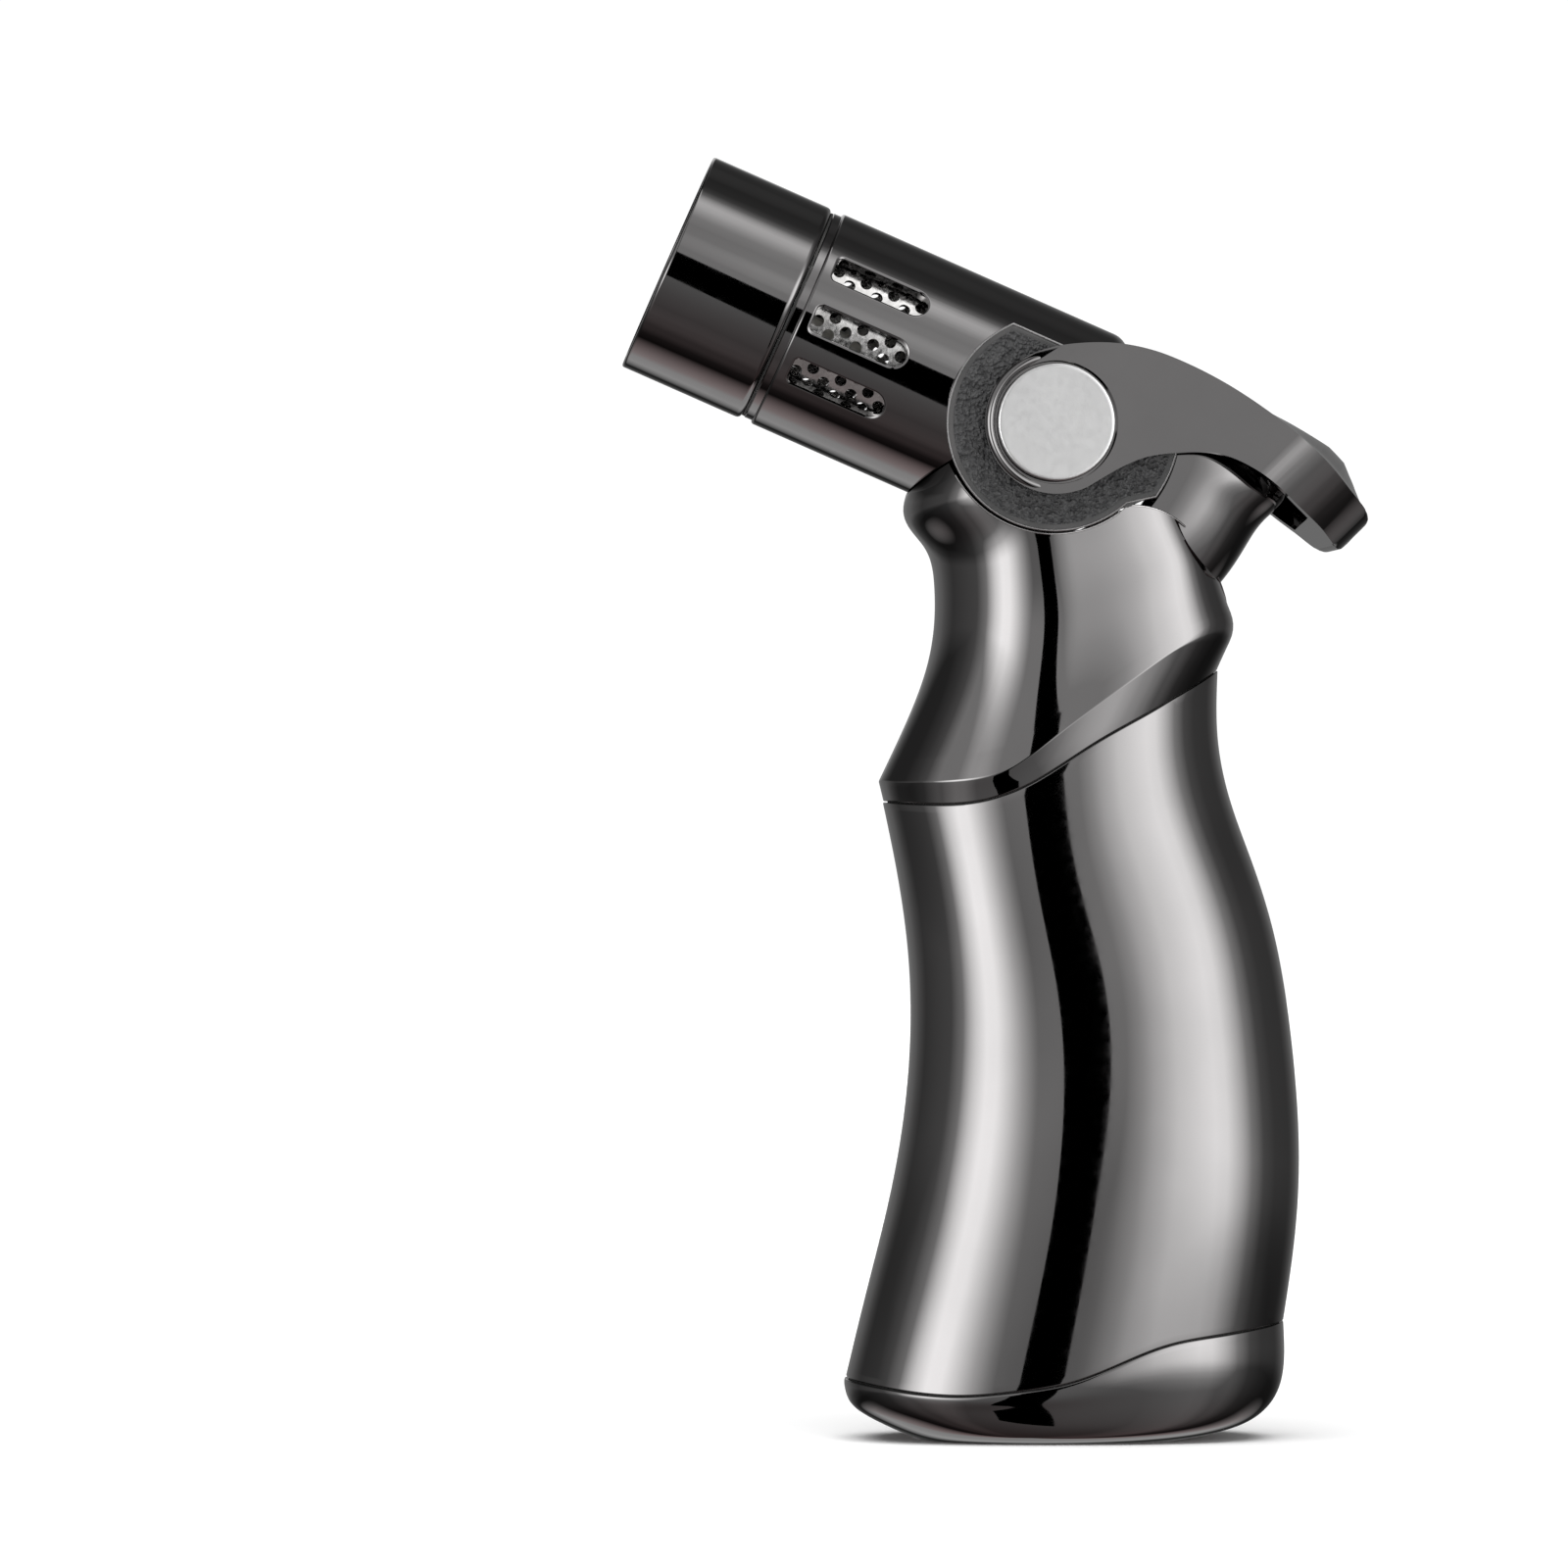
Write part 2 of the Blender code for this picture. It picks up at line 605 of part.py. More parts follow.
def handle_levels(inset=0.0):
    front_x = by_height(HANDLE_FRONT)
    rear_x = by_height(HANDLE_REAR)
    width_at = smooth(HANDLE_HALF_WIDTH)
    base_rise = rise_of(BASE_SEAM)
    neck_rise = rise_of(NECK_SEAM)
    rings = []
    count = 8
    for i in range(count + 1):
        share = i / count
        front_z = BASE_SEAM[0][1] + share * (NECK_SEAM[0][1] - BASE_SEAM[0][1])
        rear_z = BASE_SEAM[-1][1] + share * (NECK_SEAM[-1][1] - BASE_SEAM[-1][1])
        front = (front_x(front_z), front_z)
        rear = (rear_x(rear_z), rear_z)
        drop = {0: GAP / 2, count: -GAP / 2}.get(i, 0.0)
        rings.append(section_ring(front, rear, width_at(share), blend_rise(base_rise, neck_rise, share), inset, drop))
    return rings


def handle_shell():
    rings = handle_levels() + handle_levels(BODY_WALL)[::-1]
    make_object("handle_shell", loft(rings, hollow=True), black_chrome())


def base_levels(inset=0.0):
    rise = rise_of(BASE_SEAM)
    half = HANDLE_HALF_WIDTH[0][1]
    return [
        section_ring(BASE_SEAM[0], BASE_SEAM[-1], half, rise, inset, -GAP / 2),
        section_ring((-21.3, 5.9), (28.6, 9.0), half - 0.1, blend_rise(rise, no_rise, 0.35), inset),
        section_ring((-20.9, 4.5), (28.1, 6.0), half - 0.4, blend_rise(rise, no_rise, 0.7), inset),
        section_ring((-19.6, 3.1), (26.6, 3.5), half - 0.9, lambda s: -3.0 * s * (1 - s), inset),
        section_ring((-16.4, 1.4), (23.4, 1.5), half - 1.9, lambda s: -3.0 * s * (1 - s), inset),
        section_ring((-13.0, 0.0), (17.0, 0.0), half - 4.2, no_rise, inset),
    ]


def base_cap():
    half = HANDLE_HALF_WIDTH[0][1]
    inner = [section_ring(BASE_SEAM[0], BASE_SEAM[-1], half, rise_of(BASE_SEAM), BODY_WALL, -GAP / 2)]
    inner += [section_ring((-20.6, 4.6), (26.6, 6.6), 13.4, no_rise, BODY_WALL)]
    inner += [section_ring((-17.0, 2.6), (21.0, 2.6), 10.5, no_rise, BODY_WALL)]
    cap = make_object("base_cap", loft(base_levels()[::-1] + inner), black_chrome())
    dial_hole = lathe(rod_outline(DIAL_RADIUS + 0.4, -1, 5), 32)
    boolean(cap, make_object("dial_hole", dial_hole, None, at(DIAL_X, 0, 0)))
    refill_hole = lathe(rod_outline(REFILL_RADIUS + 0.6, -1, 5), 24)
    boolean(cap, make_object("refill_hole", refill_hole, None, at(REFILL_X, 0, 0)))


# ---------------------------------------------------------------- lever group

def plate_outline():
    """The side plate's edge round the pivot, in (x, z)."""
    tilt = math.degrees(BARREL_TILT)
    left = 180 - math.degrees(math.asin(PLATE_TOP / PLATE_RADIUS))
    right = math.degrees(math.asin(PLATE_TOP / PLATE_REAR_RADIUS))
    outline = arc((0, 0), PLATE_RADIUS, left - tilt, 360 - 48, 18)
    outline += arc((0, 0), PLATE_REAR_RADIUS, 360 - 36, 360 + right - tilt, 7)
    return outline


def side_plates():
    for name, side in (("left", 1), ("right", -1)):
        low, high = sorted((side * PLATE_INNER_Y, side * PLATE_OUTER_Y))
        plate = make_object(f"side_plate_{name}", prism(plate_outline(), low, high), grained_black(),
                            Matrix.Translation(PIVOT))
        boolean(plate, cylinder_across(f"plate_hole_{name}", PIVOT, PIN_RADIUS + GAP, -18, 18))


def lever_top_edge():
    return [(-6.5, 4.7), (-3.5, 7.2), (-0.4, 8.4), (3.4, 8.9), (7.3, 8.8), (11.1, 8.0), (14.9, 6.5), (18.8, 4.5),
            (22.6, 2.1), (26.5, -0.8), (30.3, -4.2), (33.4, -7.5), (36.0, -10.3)]


def lever_low_edge():
    return [(36.2, -11.2), (33.7, -13.9), (32.6, -14.0), (29.9, -11.5), (27.2, -9.2), (24.9, -7.1),
            (22.6, -5.4), (19.6, -3.9), (16.9, -3.3), (13.4, -3.4), (10.0, -3.9), (7.3, -5.0), (5.0, -6.3)]


def lever_bend(inset, front):
    """Straight arms that a round bend joins at the tail, drawn square to the tail's own slope."""
    half = ARM_OUTER_Y - inset
    tail = TAIL_REACH - inset
    corner = TAIL_CORNER - inset
    outline = [(front, -half)] + arc((tail - corner, corner - half), corner, -90, 0, 8)
    outline += arc((tail - corner, half - corner), corner, 0, 90, 8) + [(front, half)]
    bm = upright(outline, -60, 60)
    bmesh.ops.transform(bm, matrix=Matrix.Rotation(TAIL_SLOPE, 4, 'Y'), verts=bm.verts)
    return bm


def lever_blank():
    """The lever before its tail is bent: its outline carried across, crowned over the thumb pad."""
    half = 13.5
    rings = []
    for y in (-ARM_OUTER_Y, -half, -11.0, -6.5, 0.0, 6.5, 11.0, half, ARM_OUTER_Y):
        swell = max(0.0, 1 - (y / half) ** 2)
        top = lever_top_edge()
        for i, height in enumerate(CROWN_HEIGHTS, len(top) - len(CROWN_HEIGHTS)):
            x, z = top[i]
            top[i] = (x + height * swell * math.sin(TAIL_SLOPE), z + height * swell * math.cos(TAIL_SLOPE))
        outline = top + lever_low_edge() + arc((0, 0), EYE_RADIUS, -58, -215, 10)
        rings.append([(x, y, z) for x, z in outline])
    return loft(rings)


def thumb_lever():
    place = Matrix.Translation(PIVOT)
    lever = make_object("thumb_lever", lever_blank(), black_chrome(), place, PIVOT)
    boolean(lever, make_object("lever_bend", lever_bend(0, -30), None, place), 'INTERSECT')
    web = [(x - 0.3, z - WEB_THICKNESS) for x, z in lever_top_edge() if 14 < x < 31]
    under = [(-20, 20), (15.0, 20)] + web + [(29.6, -10.0), (29.4, -30), (-20, -30)]
    inside = make_object("lever_inside", prism(under, -ARM_INNER_Y, ARM_INNER_Y), None, place)
    boolean(inside, make_object("lever_inside_bend", lever_bend(WEB_THICKNESS, -50), None, place), 'INTERSECT')
    boolean(lever, inside)
    rib = [(15.2, 5.2), (14.9, -3.0), (12.2, -8.2), (12.8, -8.9), (13.5, -8.6), (16.5, -5.0), (19.0, 0.0),
           (20.0, 3.1)]
    brow = [(10.7, 8.1), (9.7, 5.9), (13.0, 5.1), (17.5, 2.8), (17.5, 5.1), (14.9, 6.5), (12.8, 7.3)]
    boolean(lever, make_object("lever_brow", prism(brow, -12.9, 12.9), None, place), 'UNION')
    boolean(lever, make_object("lever_rib", prism(rib, -1.5, 1.5), None, place), 'UNION')
    boolean(lever, cylinder_across("lever_bore", PIVOT, PIN_RADIUS + GAP, -18, 18))
    for name, side in (("left", 1), ("right", -1)):
        low, high = sorted((side * EYE_WEB_Y, side * 20))
        boolean(lever, cylinder_across(f"cap_seat_{name}", PIVOT, CAP_RADIUS + GAP, low, high, sides=40))


def skirt_reach(angle):
    """The skirt's outer radius about the pivot at an angle in degrees."""
    reach = smooth([(-74, 26.5), (-52, 26.5), (-43, 26.5), (-36, 26.4), (-30, 26.75), (-26, 27.3), (-22, 28.3),
                    (-17, 29.5), (-12, 28.3), (-8, 25.6)])
    return reach(angle)


def skirt_mesh(growth, start, end, closed=False):
    """The skirt's rounded outer form, swept about the pivot between two angles in degrees."""
    rings = []
    steps = 8
    for i in range(steps + 1):
        angle = start + (end - start) * i / steps
        outer = (skirt_reach(angle) if angle > -52 else 26.5) + growth
        inner = SKIRT_INNER_RADIUS - growth
        ring = []
        for k in range(13):
            turn = math.pi * (k / 12 - 0.5)
            along = max(0.0, power(math.cos(turn), 2 / 3.2))
            radius = inner + (outer - inner) * along
            across = (SKIRT_HALF_WIDTH + growth) * power(math.sin(turn), 2 / 3.2)
            ring.append((radius * math.cos(math.radians(angle)), across, radius * math.sin(math.radians(angle))))
        rings.append(ring)
    return loft(rings)


def lever_skirt():
    place = Matrix.Translation(PIVOT)
    skirt = make_object("lever_skirt", skirt_mesh(0, -8, -52), black_chrome(), place, PIVOT)
    boolean(skirt, make_object("skirt_hollow", skirt_mesh(-SKIRT_WALL, -2, -60), None, place))
    mouth = arc((0, 0), 17.5, -85, 8, 12) + [(0, 0)]
    inside = SKIRT_HALF_WIDTH - SKIRT_WALL
    boolean(skirt, make_object("skirt_mouth", prism(mouth, -inside, inside), None, place))
    notch = box((5, 26), (-4.3, 4.3), (-30, -19.0))
    boolean(skirt, make_object("skirt_notch", notch, None, place))


def pivot_pieces():
    pin = rod_outline(PIN_RADIUS, -EYE_WEB_Y, EYE_WEB_Y)
    make_object("pivot_pin", lathe(pin, 24), satin_steel(), across_frame(PIVOT))
    for name, side in (("left", 1), ("right", -1)):
        edge = 0.35
        profile = [(0, CAP_INNER_Y), (CAP_RADIUS, CAP_INNER_Y), (CAP_RADIUS, CAP_OUTER_Y - edge)]
        profile += [(CAP_RADIUS - edge, CAP_OUTER_Y), (0, CAP_OUTER_Y)]
        cap = lathe([(radius, side * height) for radius, height in profile], 32)
        make_object(f"pivot_cap_{name}", cap, satin_steel(), across_frame(PIVOT))


# ---------------------------------------------------------------- gas system

def tank_ring(height, inset):
    front = (by_height(HANDLE_FRONT)(height), height)
    rear = (by_height(HANDLE_REAR)(height), height)
    return section_ring(front, rear, 13.7, no_rise, TANK_CLEARANCE + inset)


def tank_heights(low, high):
    return np.linspace(low, high, 6)


def fuel_tank():
    tank = make_object("fuel_tank", loft([tank_ring(z, 0) for z in tank_heights(TANK_BOTTOM, TANK_TOP)]),
                       tank_plastic())
    hollow = [tank_ring(z, TANK_WALL) for z in tank_heights(TANK_BOTTOM + TANK_WALL, TANK_TOP + 2)]
    boolean(tank, make_object("tank_hollow", loft(hollow), None))
    for name, x, radius in (("regulator", DIAL_X, 2.6), ("refill", REFILL_X, REFILL_RADIUS)):
        hole = lathe(rod_outline(radius + GAP, TANK_BOTTOM - 2, TANK_BOTTOM + 4), 24)
        boolean(tank, make_object(f"tank_{name}_hole", hole, None, at(x, 0, 0)))
    seal_low = TANK_TOP + 0.2
    seal = [tank_ring(seal_low, 0), tank_ring(seal_low + SEAL_THICKNESS, 0)]
    seal += [tank_ring(seal_low + SEAL_THICKNESS, TANK_WALL), tank_ring(seal_low, TANK_WALL)]
    make_object("tank_seal", loft(seal, hollow=True), rubber())
    lid_low = seal_low + SEAL_THICKNESS + 0.2
    lid_rings = [tank_ring(lid_low, 0), tank_ring(lid_low + LID_THICKNESS, 0)]
    lid = make_object("tank_lid", loft(lid_rings), tank_plastic())
    hole = lathe(rod_outline(VALVE_RADIUS + GAP, lid_low - 2, lid_low + 5), 24)
    boolean(lid, make_object("lid_hole", hole, None, at(VALVE_X, 0, 0)))


def gas_valve():
    bore = STEM_RADIUS + GAP
    profile = [(bore, VALVE_BOTTOM + 8), (0.8, VALVE_BOTTOM + 8), (0.8, VALVE_BOTTOM), (VALVE_RADIUS, VALVE_BOTTOM)]
    profile += [(VALVE_RADIUS, VALVE_TOP - 4), (2.3, VALVE_TOP - 3), (2.3, VALVE_TOP), (bore, VALVE_TOP)]
    body = make_object("gas_valve_body", lathe(profile, 24), brass(), at(VALVE_X, 0, 0))
    outlet = Matrix.Translation((VALVE_X, 0, 74.5)) @ Matrix.Rotation(-math.pi / 2, 4, 'Y')
    boolean(body, make_object("valve_outlet", lathe(rod_outline(1.1, 1.8, 4.6), 12), None, outlet), 'UNION')
    head = [(0, VALVE_BOTTOM + 9), (STEM_RADIUS, VALVE_BOTTOM + 9), (STEM_RADIUS, STEM_TOP - 1), (1.3, STEM_TOP - 1)]
    make_object("valve_stem", lathe(head + [(1.3, STEM_TOP), (0, STEM_TOP)], 16), brass(), at(VALVE_X, 0, 0),
                (VALVE_X, 0, STEM_TOP))
    feed = [Vector((DIAL_X, 0, 24.5)), Vector((DIAL_X, 0, 30)), Vector((-6.5, 0, 42)), Vector((VALVE_X, 0, 52)),
            Vector((VALVE_X, 0, VALVE_BOTTOM - GAP))]
    make_object("feed_tube", pipe(feed, 1.1), pale_plastic())
    route = [Vector((VALVE_X - 5.0, 0, 74.5)), Vector((-11.3, 0, 75.2)), Vector((-11.2, 0, 78)),
             Vector((-9.8, 0, 84)), Vector((-8.0, 0, 92)), Vector((-7.3, 0, 99)), in_barrel(42.5, 0, -10),
             in_barrel(34, 0, -4), in_barrel(25, 0, -1), in_barrel(18.5, 0, 0), in_barrel(16.2, 0, 0)]
    make_object("gas_tube", pipe(route, 1.1), pale_plastic())


def flame_regulator():
    body = [(0, 4.6), (2.0, 4.6), (2.0, 8.0), (2.6, 8.0), (2.6, 22.0), (1.1, 22.0), (1.1, 24.2), (0, 24.2)]
    make_object("regulator_body", lathe(body, 20), brass(), at(DIAL_X, 0, 0))
    outline = []
    teeth = 20
    for i in range(teeth):
        for share, radius in ((0.0, DIAL_RADIUS), (0.5, DIAL_RADIUS - 0.35)):
            angle = 2 * math.pi * (i + share) / teeth
            outline.append((radius * math.cos(angle), radius * math.sin(angle)))
    frame = at(DIAL_X, 0, 0)
    dial = make_object("flame_dial", upright(outline, 0.6, 4.3), satin_steel(), frame, (DIAL_X, 0, 0.6))
    boolean(dial, make_object("dial_slot", box((-3.6, 3.6), (-0.5, 0.5), (0, 1.4)), None, frame))


def refill_valve():
    frame = at(REFILL_X, 0, 0)
    body = [(1.3, 3.2), (REFILL_RADIUS, 3.2), (REFILL_RADIUS, 21), (0.6, 21), (0.6, 19.5), (2.2, 19.5), (2.2, 8.5),
            (1.3, 8.5)]
    make_object("refill_valve_body", lathe(body, 24), brass(), frame)
    stem = [(0, 2.2), (0.9, 2.2), (0.9, 9.1), (1.9, 9.1), (1.9, 9.9), (0.7, 9.9), (0.7, 13), (0, 13)]
    make_object("refill_stem", lathe(stem, 16), brass(), frame, (REFILL_X, 0, 2.2))
    make_object("refill_spring", spring(1.5, 0.22, 10.1, 19.3, 5), bright_steel(), frame)


# ---------------------------------------------------------------- ignition and valve mechanism

def piezo():
    middle = (PIEZO_X[0] + PIEZO_X[1]) / 2
    body = make_object("piezo_body", box(PIEZO_X, (-PIEZO_HALF_DEPTH, PIEZO_HALF_DEPTH), PIEZO_Z), matte_black())
    socket = box((PLUNGER_X[0] - GAP, PLUNGER_X[1] + GAP), (-PLUNGER_HALF_DEPTH - GAP, PLUNGER_HALF_DEPTH + GAP),
                 (PIEZO_Z[0] + 8, PIEZO_Z[1] + 2))
    boolean(body, make_object("piezo_socket", socket, None))
    low = PIEZO_Z[0] + 12
    front, rear = PLUNGER_X
    outline = [(front, low), (rear, low), (rear, PLUNGER_TOP - 3.5), (PLUNGER_HEAD_X, PLUNGER_TOP - 1.5),
               (PLUNGER_HEAD_X, PLUNGER_TOP), (front, PLUNGER_TOP)]
    plunger = make_object("piezo_plunger", prism(outline, -PLUNGER_HALF_DEPTH, PLUNGER_HALF_DEPTH), pale_plastic(),
                          None, (middle, 0, PLUNGER_TOP))
    finger = [(front + 1, 101.8), (5.6, 101.8), (5.6, 87.6), (6.9, 87.6), (6.9, 100.2), (front + 1, 100.2)]
    boolean(plunger, make_object("plunger_finger", prism(finger, -1.2, 1.2), None), 'UNION')
    coil = spring(1.8, 0.22, PIEZO_Z[0] + 8.1, low - 0.1, 3)
    make_object("piezo_spring", coil, bright_steel(), at(middle, 0, 0))


def mechanism():
    base = box((-10.0, 14.5), (-7.5, 7.5), (FRAME_Z, FRAME_Z + 2))
    frame = make_object("mechanism_frame", base, pale_plastic())
    for name, side in (("left", 1), ("right", -1)):
        low, high = sorted((side * CHEEK_Y[0], side * CHEEK_Y[1]))
        cheek = box((-3.8, 13.6), (low, high), (FRAME_Z + 1, 88.3))
        boolean(frame, make_object(f"frame_cheek_{name}", cheek, None), 'UNION')
    shelf = box((6.8, 13.4), (-4.4, 4.4), (FRAME_Z + 1, PIEZO_Z[0] - GAP))
    boolean(frame, make_object("frame_shelf", shelf, None), 'UNION')
    hole = lathe(rod_outline(VALVE_RADIUS + GAP, FRAME_Z - 2, FRAME_Z + 5), 24)
    boolean(frame, make_object("frame_valve_hole", hole, None, at(VALVE_X, 0, 0)))
    boolean(frame, cylinder_across("frame_pin_hole", ROCKER_AXIS, ROCKER_PIN_RADIUS + 0.2, -9, 9, sides=16))
    cylinder_across("rocker_pin", ROCKER_AXIS, ROCKER_PIN_RADIUS, -CHEEK_Y[1], CHEEK_Y[1], satin_steel(), 16)
    arm = [(-5.4, 0.6), (-5.4, -0.7), (-1.5, -1.0), (0, -2.0), (2.0, -1.0), (8.4, 0.1), (8.4, 1.5), (1.8, 1.6),
           (0, 2.0), (-1.8, 1.2)]
    rocker = make_object("valve_rocker", prism(arm, -3.0, 3.0), satin_steel(), Matrix.Translation(ROCKER_AXIS),
                         ROCKER_AXIS)
    boolean(rocker, cylinder_across("rocker_bore", ROCKER_AXIS, ROCKER_PIN_RADIUS + 0.2, -9, 9, sides=16))
    fork = box((-9, VALVE_X + 1.3), (-1.15, 1.15), (80, 90))
    boolean(rocker, make_object("rocker_fork", fork, None))


def ignition_wire():
    route = [Vector((6.4, 2.7, 89.3)), Vector((4.8, 3.8, 91.0)), Vector((2.0, 5.0, 95.0)), Vector((-2.2, 4.8, 99.0)),
             Vector((-5.2, 4.0, 102.0)), in_barrel(41.5, 3.8, -11.5), in_barrel(36, 5.5, -7.5),
             in_barrel(27, 7.9, -2.0), in_barrel(19, 8.4, 0.8), in_barrel(14.7, 8.45, 1.0)]
    make_object("ignition_wire", pipe(route, 0.6, 6), rubber())


def main():
    for obj in list(bpy.data.objects):
        bpy.data.objects.remove(obj)
    nozzle_collar()
    barrel_shell()
    mesh_liner()
    burner_insert()
    jets()
    burner_back()
    neck_housing()
    handle_shell()
    base_cap()
    side_plates()
    thumb_lever()
    lever_skirt()
    pivot_pieces()
    fuel_tank()
    gas_valve()
    flame_regulator()
    refill_valve()
    piezo()
    mechanism()
    ignition_wire()


main()
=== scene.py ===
"""The looks of the torch lighter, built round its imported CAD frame.

Shapes are made in millimetres, in the frame's own axes, and become metres when a mesh is made:
+Z is up, the nozzle points to -X and the camera looks along +Y.
"""
import math

import bmesh
import bpy
import numpy as np
from mathutils import Matrix, Vector
from mathutils.bvhtree import BVHTree


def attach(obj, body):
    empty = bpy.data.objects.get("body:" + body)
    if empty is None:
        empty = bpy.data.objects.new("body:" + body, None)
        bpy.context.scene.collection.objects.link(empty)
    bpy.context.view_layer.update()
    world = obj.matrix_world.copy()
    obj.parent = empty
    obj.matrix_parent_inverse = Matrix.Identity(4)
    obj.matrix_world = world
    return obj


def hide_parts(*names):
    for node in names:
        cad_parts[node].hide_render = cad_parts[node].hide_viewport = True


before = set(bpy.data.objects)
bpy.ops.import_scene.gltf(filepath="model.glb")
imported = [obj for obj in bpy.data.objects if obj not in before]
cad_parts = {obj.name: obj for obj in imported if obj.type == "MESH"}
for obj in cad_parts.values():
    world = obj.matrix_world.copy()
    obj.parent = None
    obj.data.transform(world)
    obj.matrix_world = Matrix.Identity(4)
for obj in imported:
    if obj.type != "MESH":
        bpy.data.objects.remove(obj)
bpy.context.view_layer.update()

MM = 0.001
GAP = 0.3
SIDES = 192

# Barrel and burner.
BARREL_TILT = math.radians(23.7)
BARREL_FRONT = Vector((-41.4, 0.0, 133.4))
BARREL_RADIUS = 12.95
BARREL_WALL = 1.2
BARREL_LENGTH = 52.4
BARREL_END_ROUND = 2.8
COLLAR_LENGTH = 14.7
COLLAR_BORE = 11.7
GROOVE_LENGTH = 1.5
GROOVE_DEPTH = 0.35
SLOT_START = 17.4
SLOT_LENGTH = 11.3
SLOT_WIDTH = 3.2
SLOT_CORNER = 0.6
SLOT_PITCH_ANGLE = math.radians(29.0)
SLOT_RIM = 0.28
LINER_RADIUS = 11.4
LINER_THICKNESS = 0.45
LINER_RANGE = (10.2, 37.0)
HOLE_RADIUS = 0.68
HOLE_PITCH = 3.36
HOLE_ROWS = 68
INSERT_RADIUS = 11.4
INSERT_DEPTH = 9.5
CAVITY_WIDTH = 17.4
CAVITY_CORNER = 3.1
CAVITY_DEPTH = 7.0
JET_GRID = 7.8
JET_RADIUS = 2.8
JET_BORE = 2.45
JET_TOP = 3.9
JET_FLANGE_RADIUS = 3.25
DISC_RADIUS = 2.25
DISC_ROOT_RADIUS = 1.5
DISC_HOLE_RADIUS = 0.67
DISC_PETALS = 10
MANIFOLD_TOP = INSERT_DEPTH + GAP
ELECTRODE_SIDE = 7.5
ELECTRODE_UP = 1.0

# Thumb lever and the plates beside the barrel.
PIVOT = Vector((1.45, 0.0, 114.6))
PIN_RADIUS = 2.0
PLATE_INNER_Y = 13.3
PLATE_OUTER_Y = 14.2
PLATE_RADIUS = 12.1
PLATE_REAR_RADIUS = 14.1
PLATE_TOP = 8.4
ARM_INNER_Y = 14.6
ARM_OUTER_Y = 16.8
EYE_RADIUS = 8.0
CAP_RADIUS = 6.6
CAP_INNER_Y = 15.7
CAP_OUTER_Y = 17.2
WEB_THICKNESS = 2.2
TAIL_SLOPE = math.radians(45.6)
TAIL_REACH = 33.2
TAIL_CORNER = 13.3
SKIRT_INNER_RADIUS = 14.5
SKIRT_HALF_WIDTH = 11.0
SKIRT_WALL = 1.4
SKIRT_ROUNDNESS = 2 / 3.2
SKIRT_OUTER_RADIUS = 26.5

# Side-view outlines from the pivot: the neck's upper edge behind the plates, the lever's upper and
# lower edges, and the height of its thumb pad's crown along the tail.
SLOPE = [(7.2, -9.5), (8.6, -9.2), (11.5, -9.55), (14.1, -10.8), (16.5, -13.2), (18.9, -16.8),
         (20.3, -19.7)]
LEVER_TOP = [(-6.5, 4.7), (-3.5, 7.2), (-0.4, 8.4), (3.4, 8.9), (7.3, 8.8), (11.1, 8.0),
             (14.9, 6.5), (18.8, 4.5), (22.6, 2.1), (26.5, -0.8), (30.3, -4.2), (33.4, -7.5),
             (36.0, -10.3)]
LEVER_LOW = [(35.95, -11.2), (35.0, -12.2), (33.5, -13.65), (32.6, -13.85), (29.9, -11.5),
             (27.2, -9.2), (24.9, -7.1), (22.6, -5.4), (19.6, -3.9), (16.9, -3.3), (13.4, -3.4),
             (10.0, -3.9), (7.3, -5.0), (5.0, -6.3)]
CROWN = [(-40.0, 0.0), (9.0, 0.0), (11.0, 0.25), (14.3, 0.8), (19.1, 1.85), (24.0, 2.85), (26.5, 2.85),
         (28.9, 1.95), (31.0, 0.9), (33.4, 0.15)]

# Side-view lines of the body: (x, z) points that a smooth curve goes through.
HANDLE_FRONT = [(-21.3, 6.0), (-19.4, 14.2), (-16.1, 27.6), (-14.0, 42.0), (-14.1, 55.5), (-16.9, 72.2)]
HANDLE_REAR = [(28.3, 12.0), (30.2, 28.0), (29.4, 45.3), (26.0, 62.3), (21.6, 75.5), (20.9, 81.5),
               (21.0, 87.2)]
NECK_FRONT = [(-17.4, 74.5), (-14.4, 80.9), (-11.9, 87.6), (-11.0, 94.2), (-12.1, 100.9), (-14.6, 105.3)]
NECK_REAR = [(23.0, 92.0), (21.5, 95.6), (20.0, 100.0), (18.3, 104.0), (16.5, 108.0), (14.5, 111.0)]
BASE_SEAM = [(-21.3, 6.9), (-13.8, 5.8), (-8.3, 5.6), (-2.8, 6.1), (2.4, 6.9), (6.4, 8.2), (13.8, 11.1),
             (20.0, 12.2), (28.5, 13.4)]
NECK_SEAM = [(-16.9, 72.2), (-8.9, 72.0), (-2.5, 73.6), (6.3, 78.9), (11.7, 81.9), (21.0, 87.2)]
CREASE = [(-17.4, 74.5), (-8.9, 74.6), (-4.0, 75.7), (2.5, 80.2), (11.7, 86.9), (16.5, 90.0), (23.0, 92.0)]
HANDLE_HALF_WIDTH = [(0.0, 14.2), (0.35, 14.3), (0.7, 13.8), (1.0, 13.5)]
NECK_HALF_WIDTH = [13.8, 13.5, 13.4, 13.45, 13.7, 13.9]
NECK_TAPER = [-0.14, -0.13, -0.1]
NECK_SQUARENESS = [(2.4, 3.6), (2.35, 4.4), (2.35, 4.6)]
NECK_INNER_SQUARENESS = [(2.6, 2.9), (3.2, 4.4), (3.3, 5.2)]
BODY_WALL = 1.6
LIP = 0.16
SEAM_GAP = 0.14
DIAL_X = -9.5
DIAL_RADIUS = 4.3
REFILL_X = 11.0
REFILL_RADIUS = 3.0


# ---------------------------------------------------------------- curves

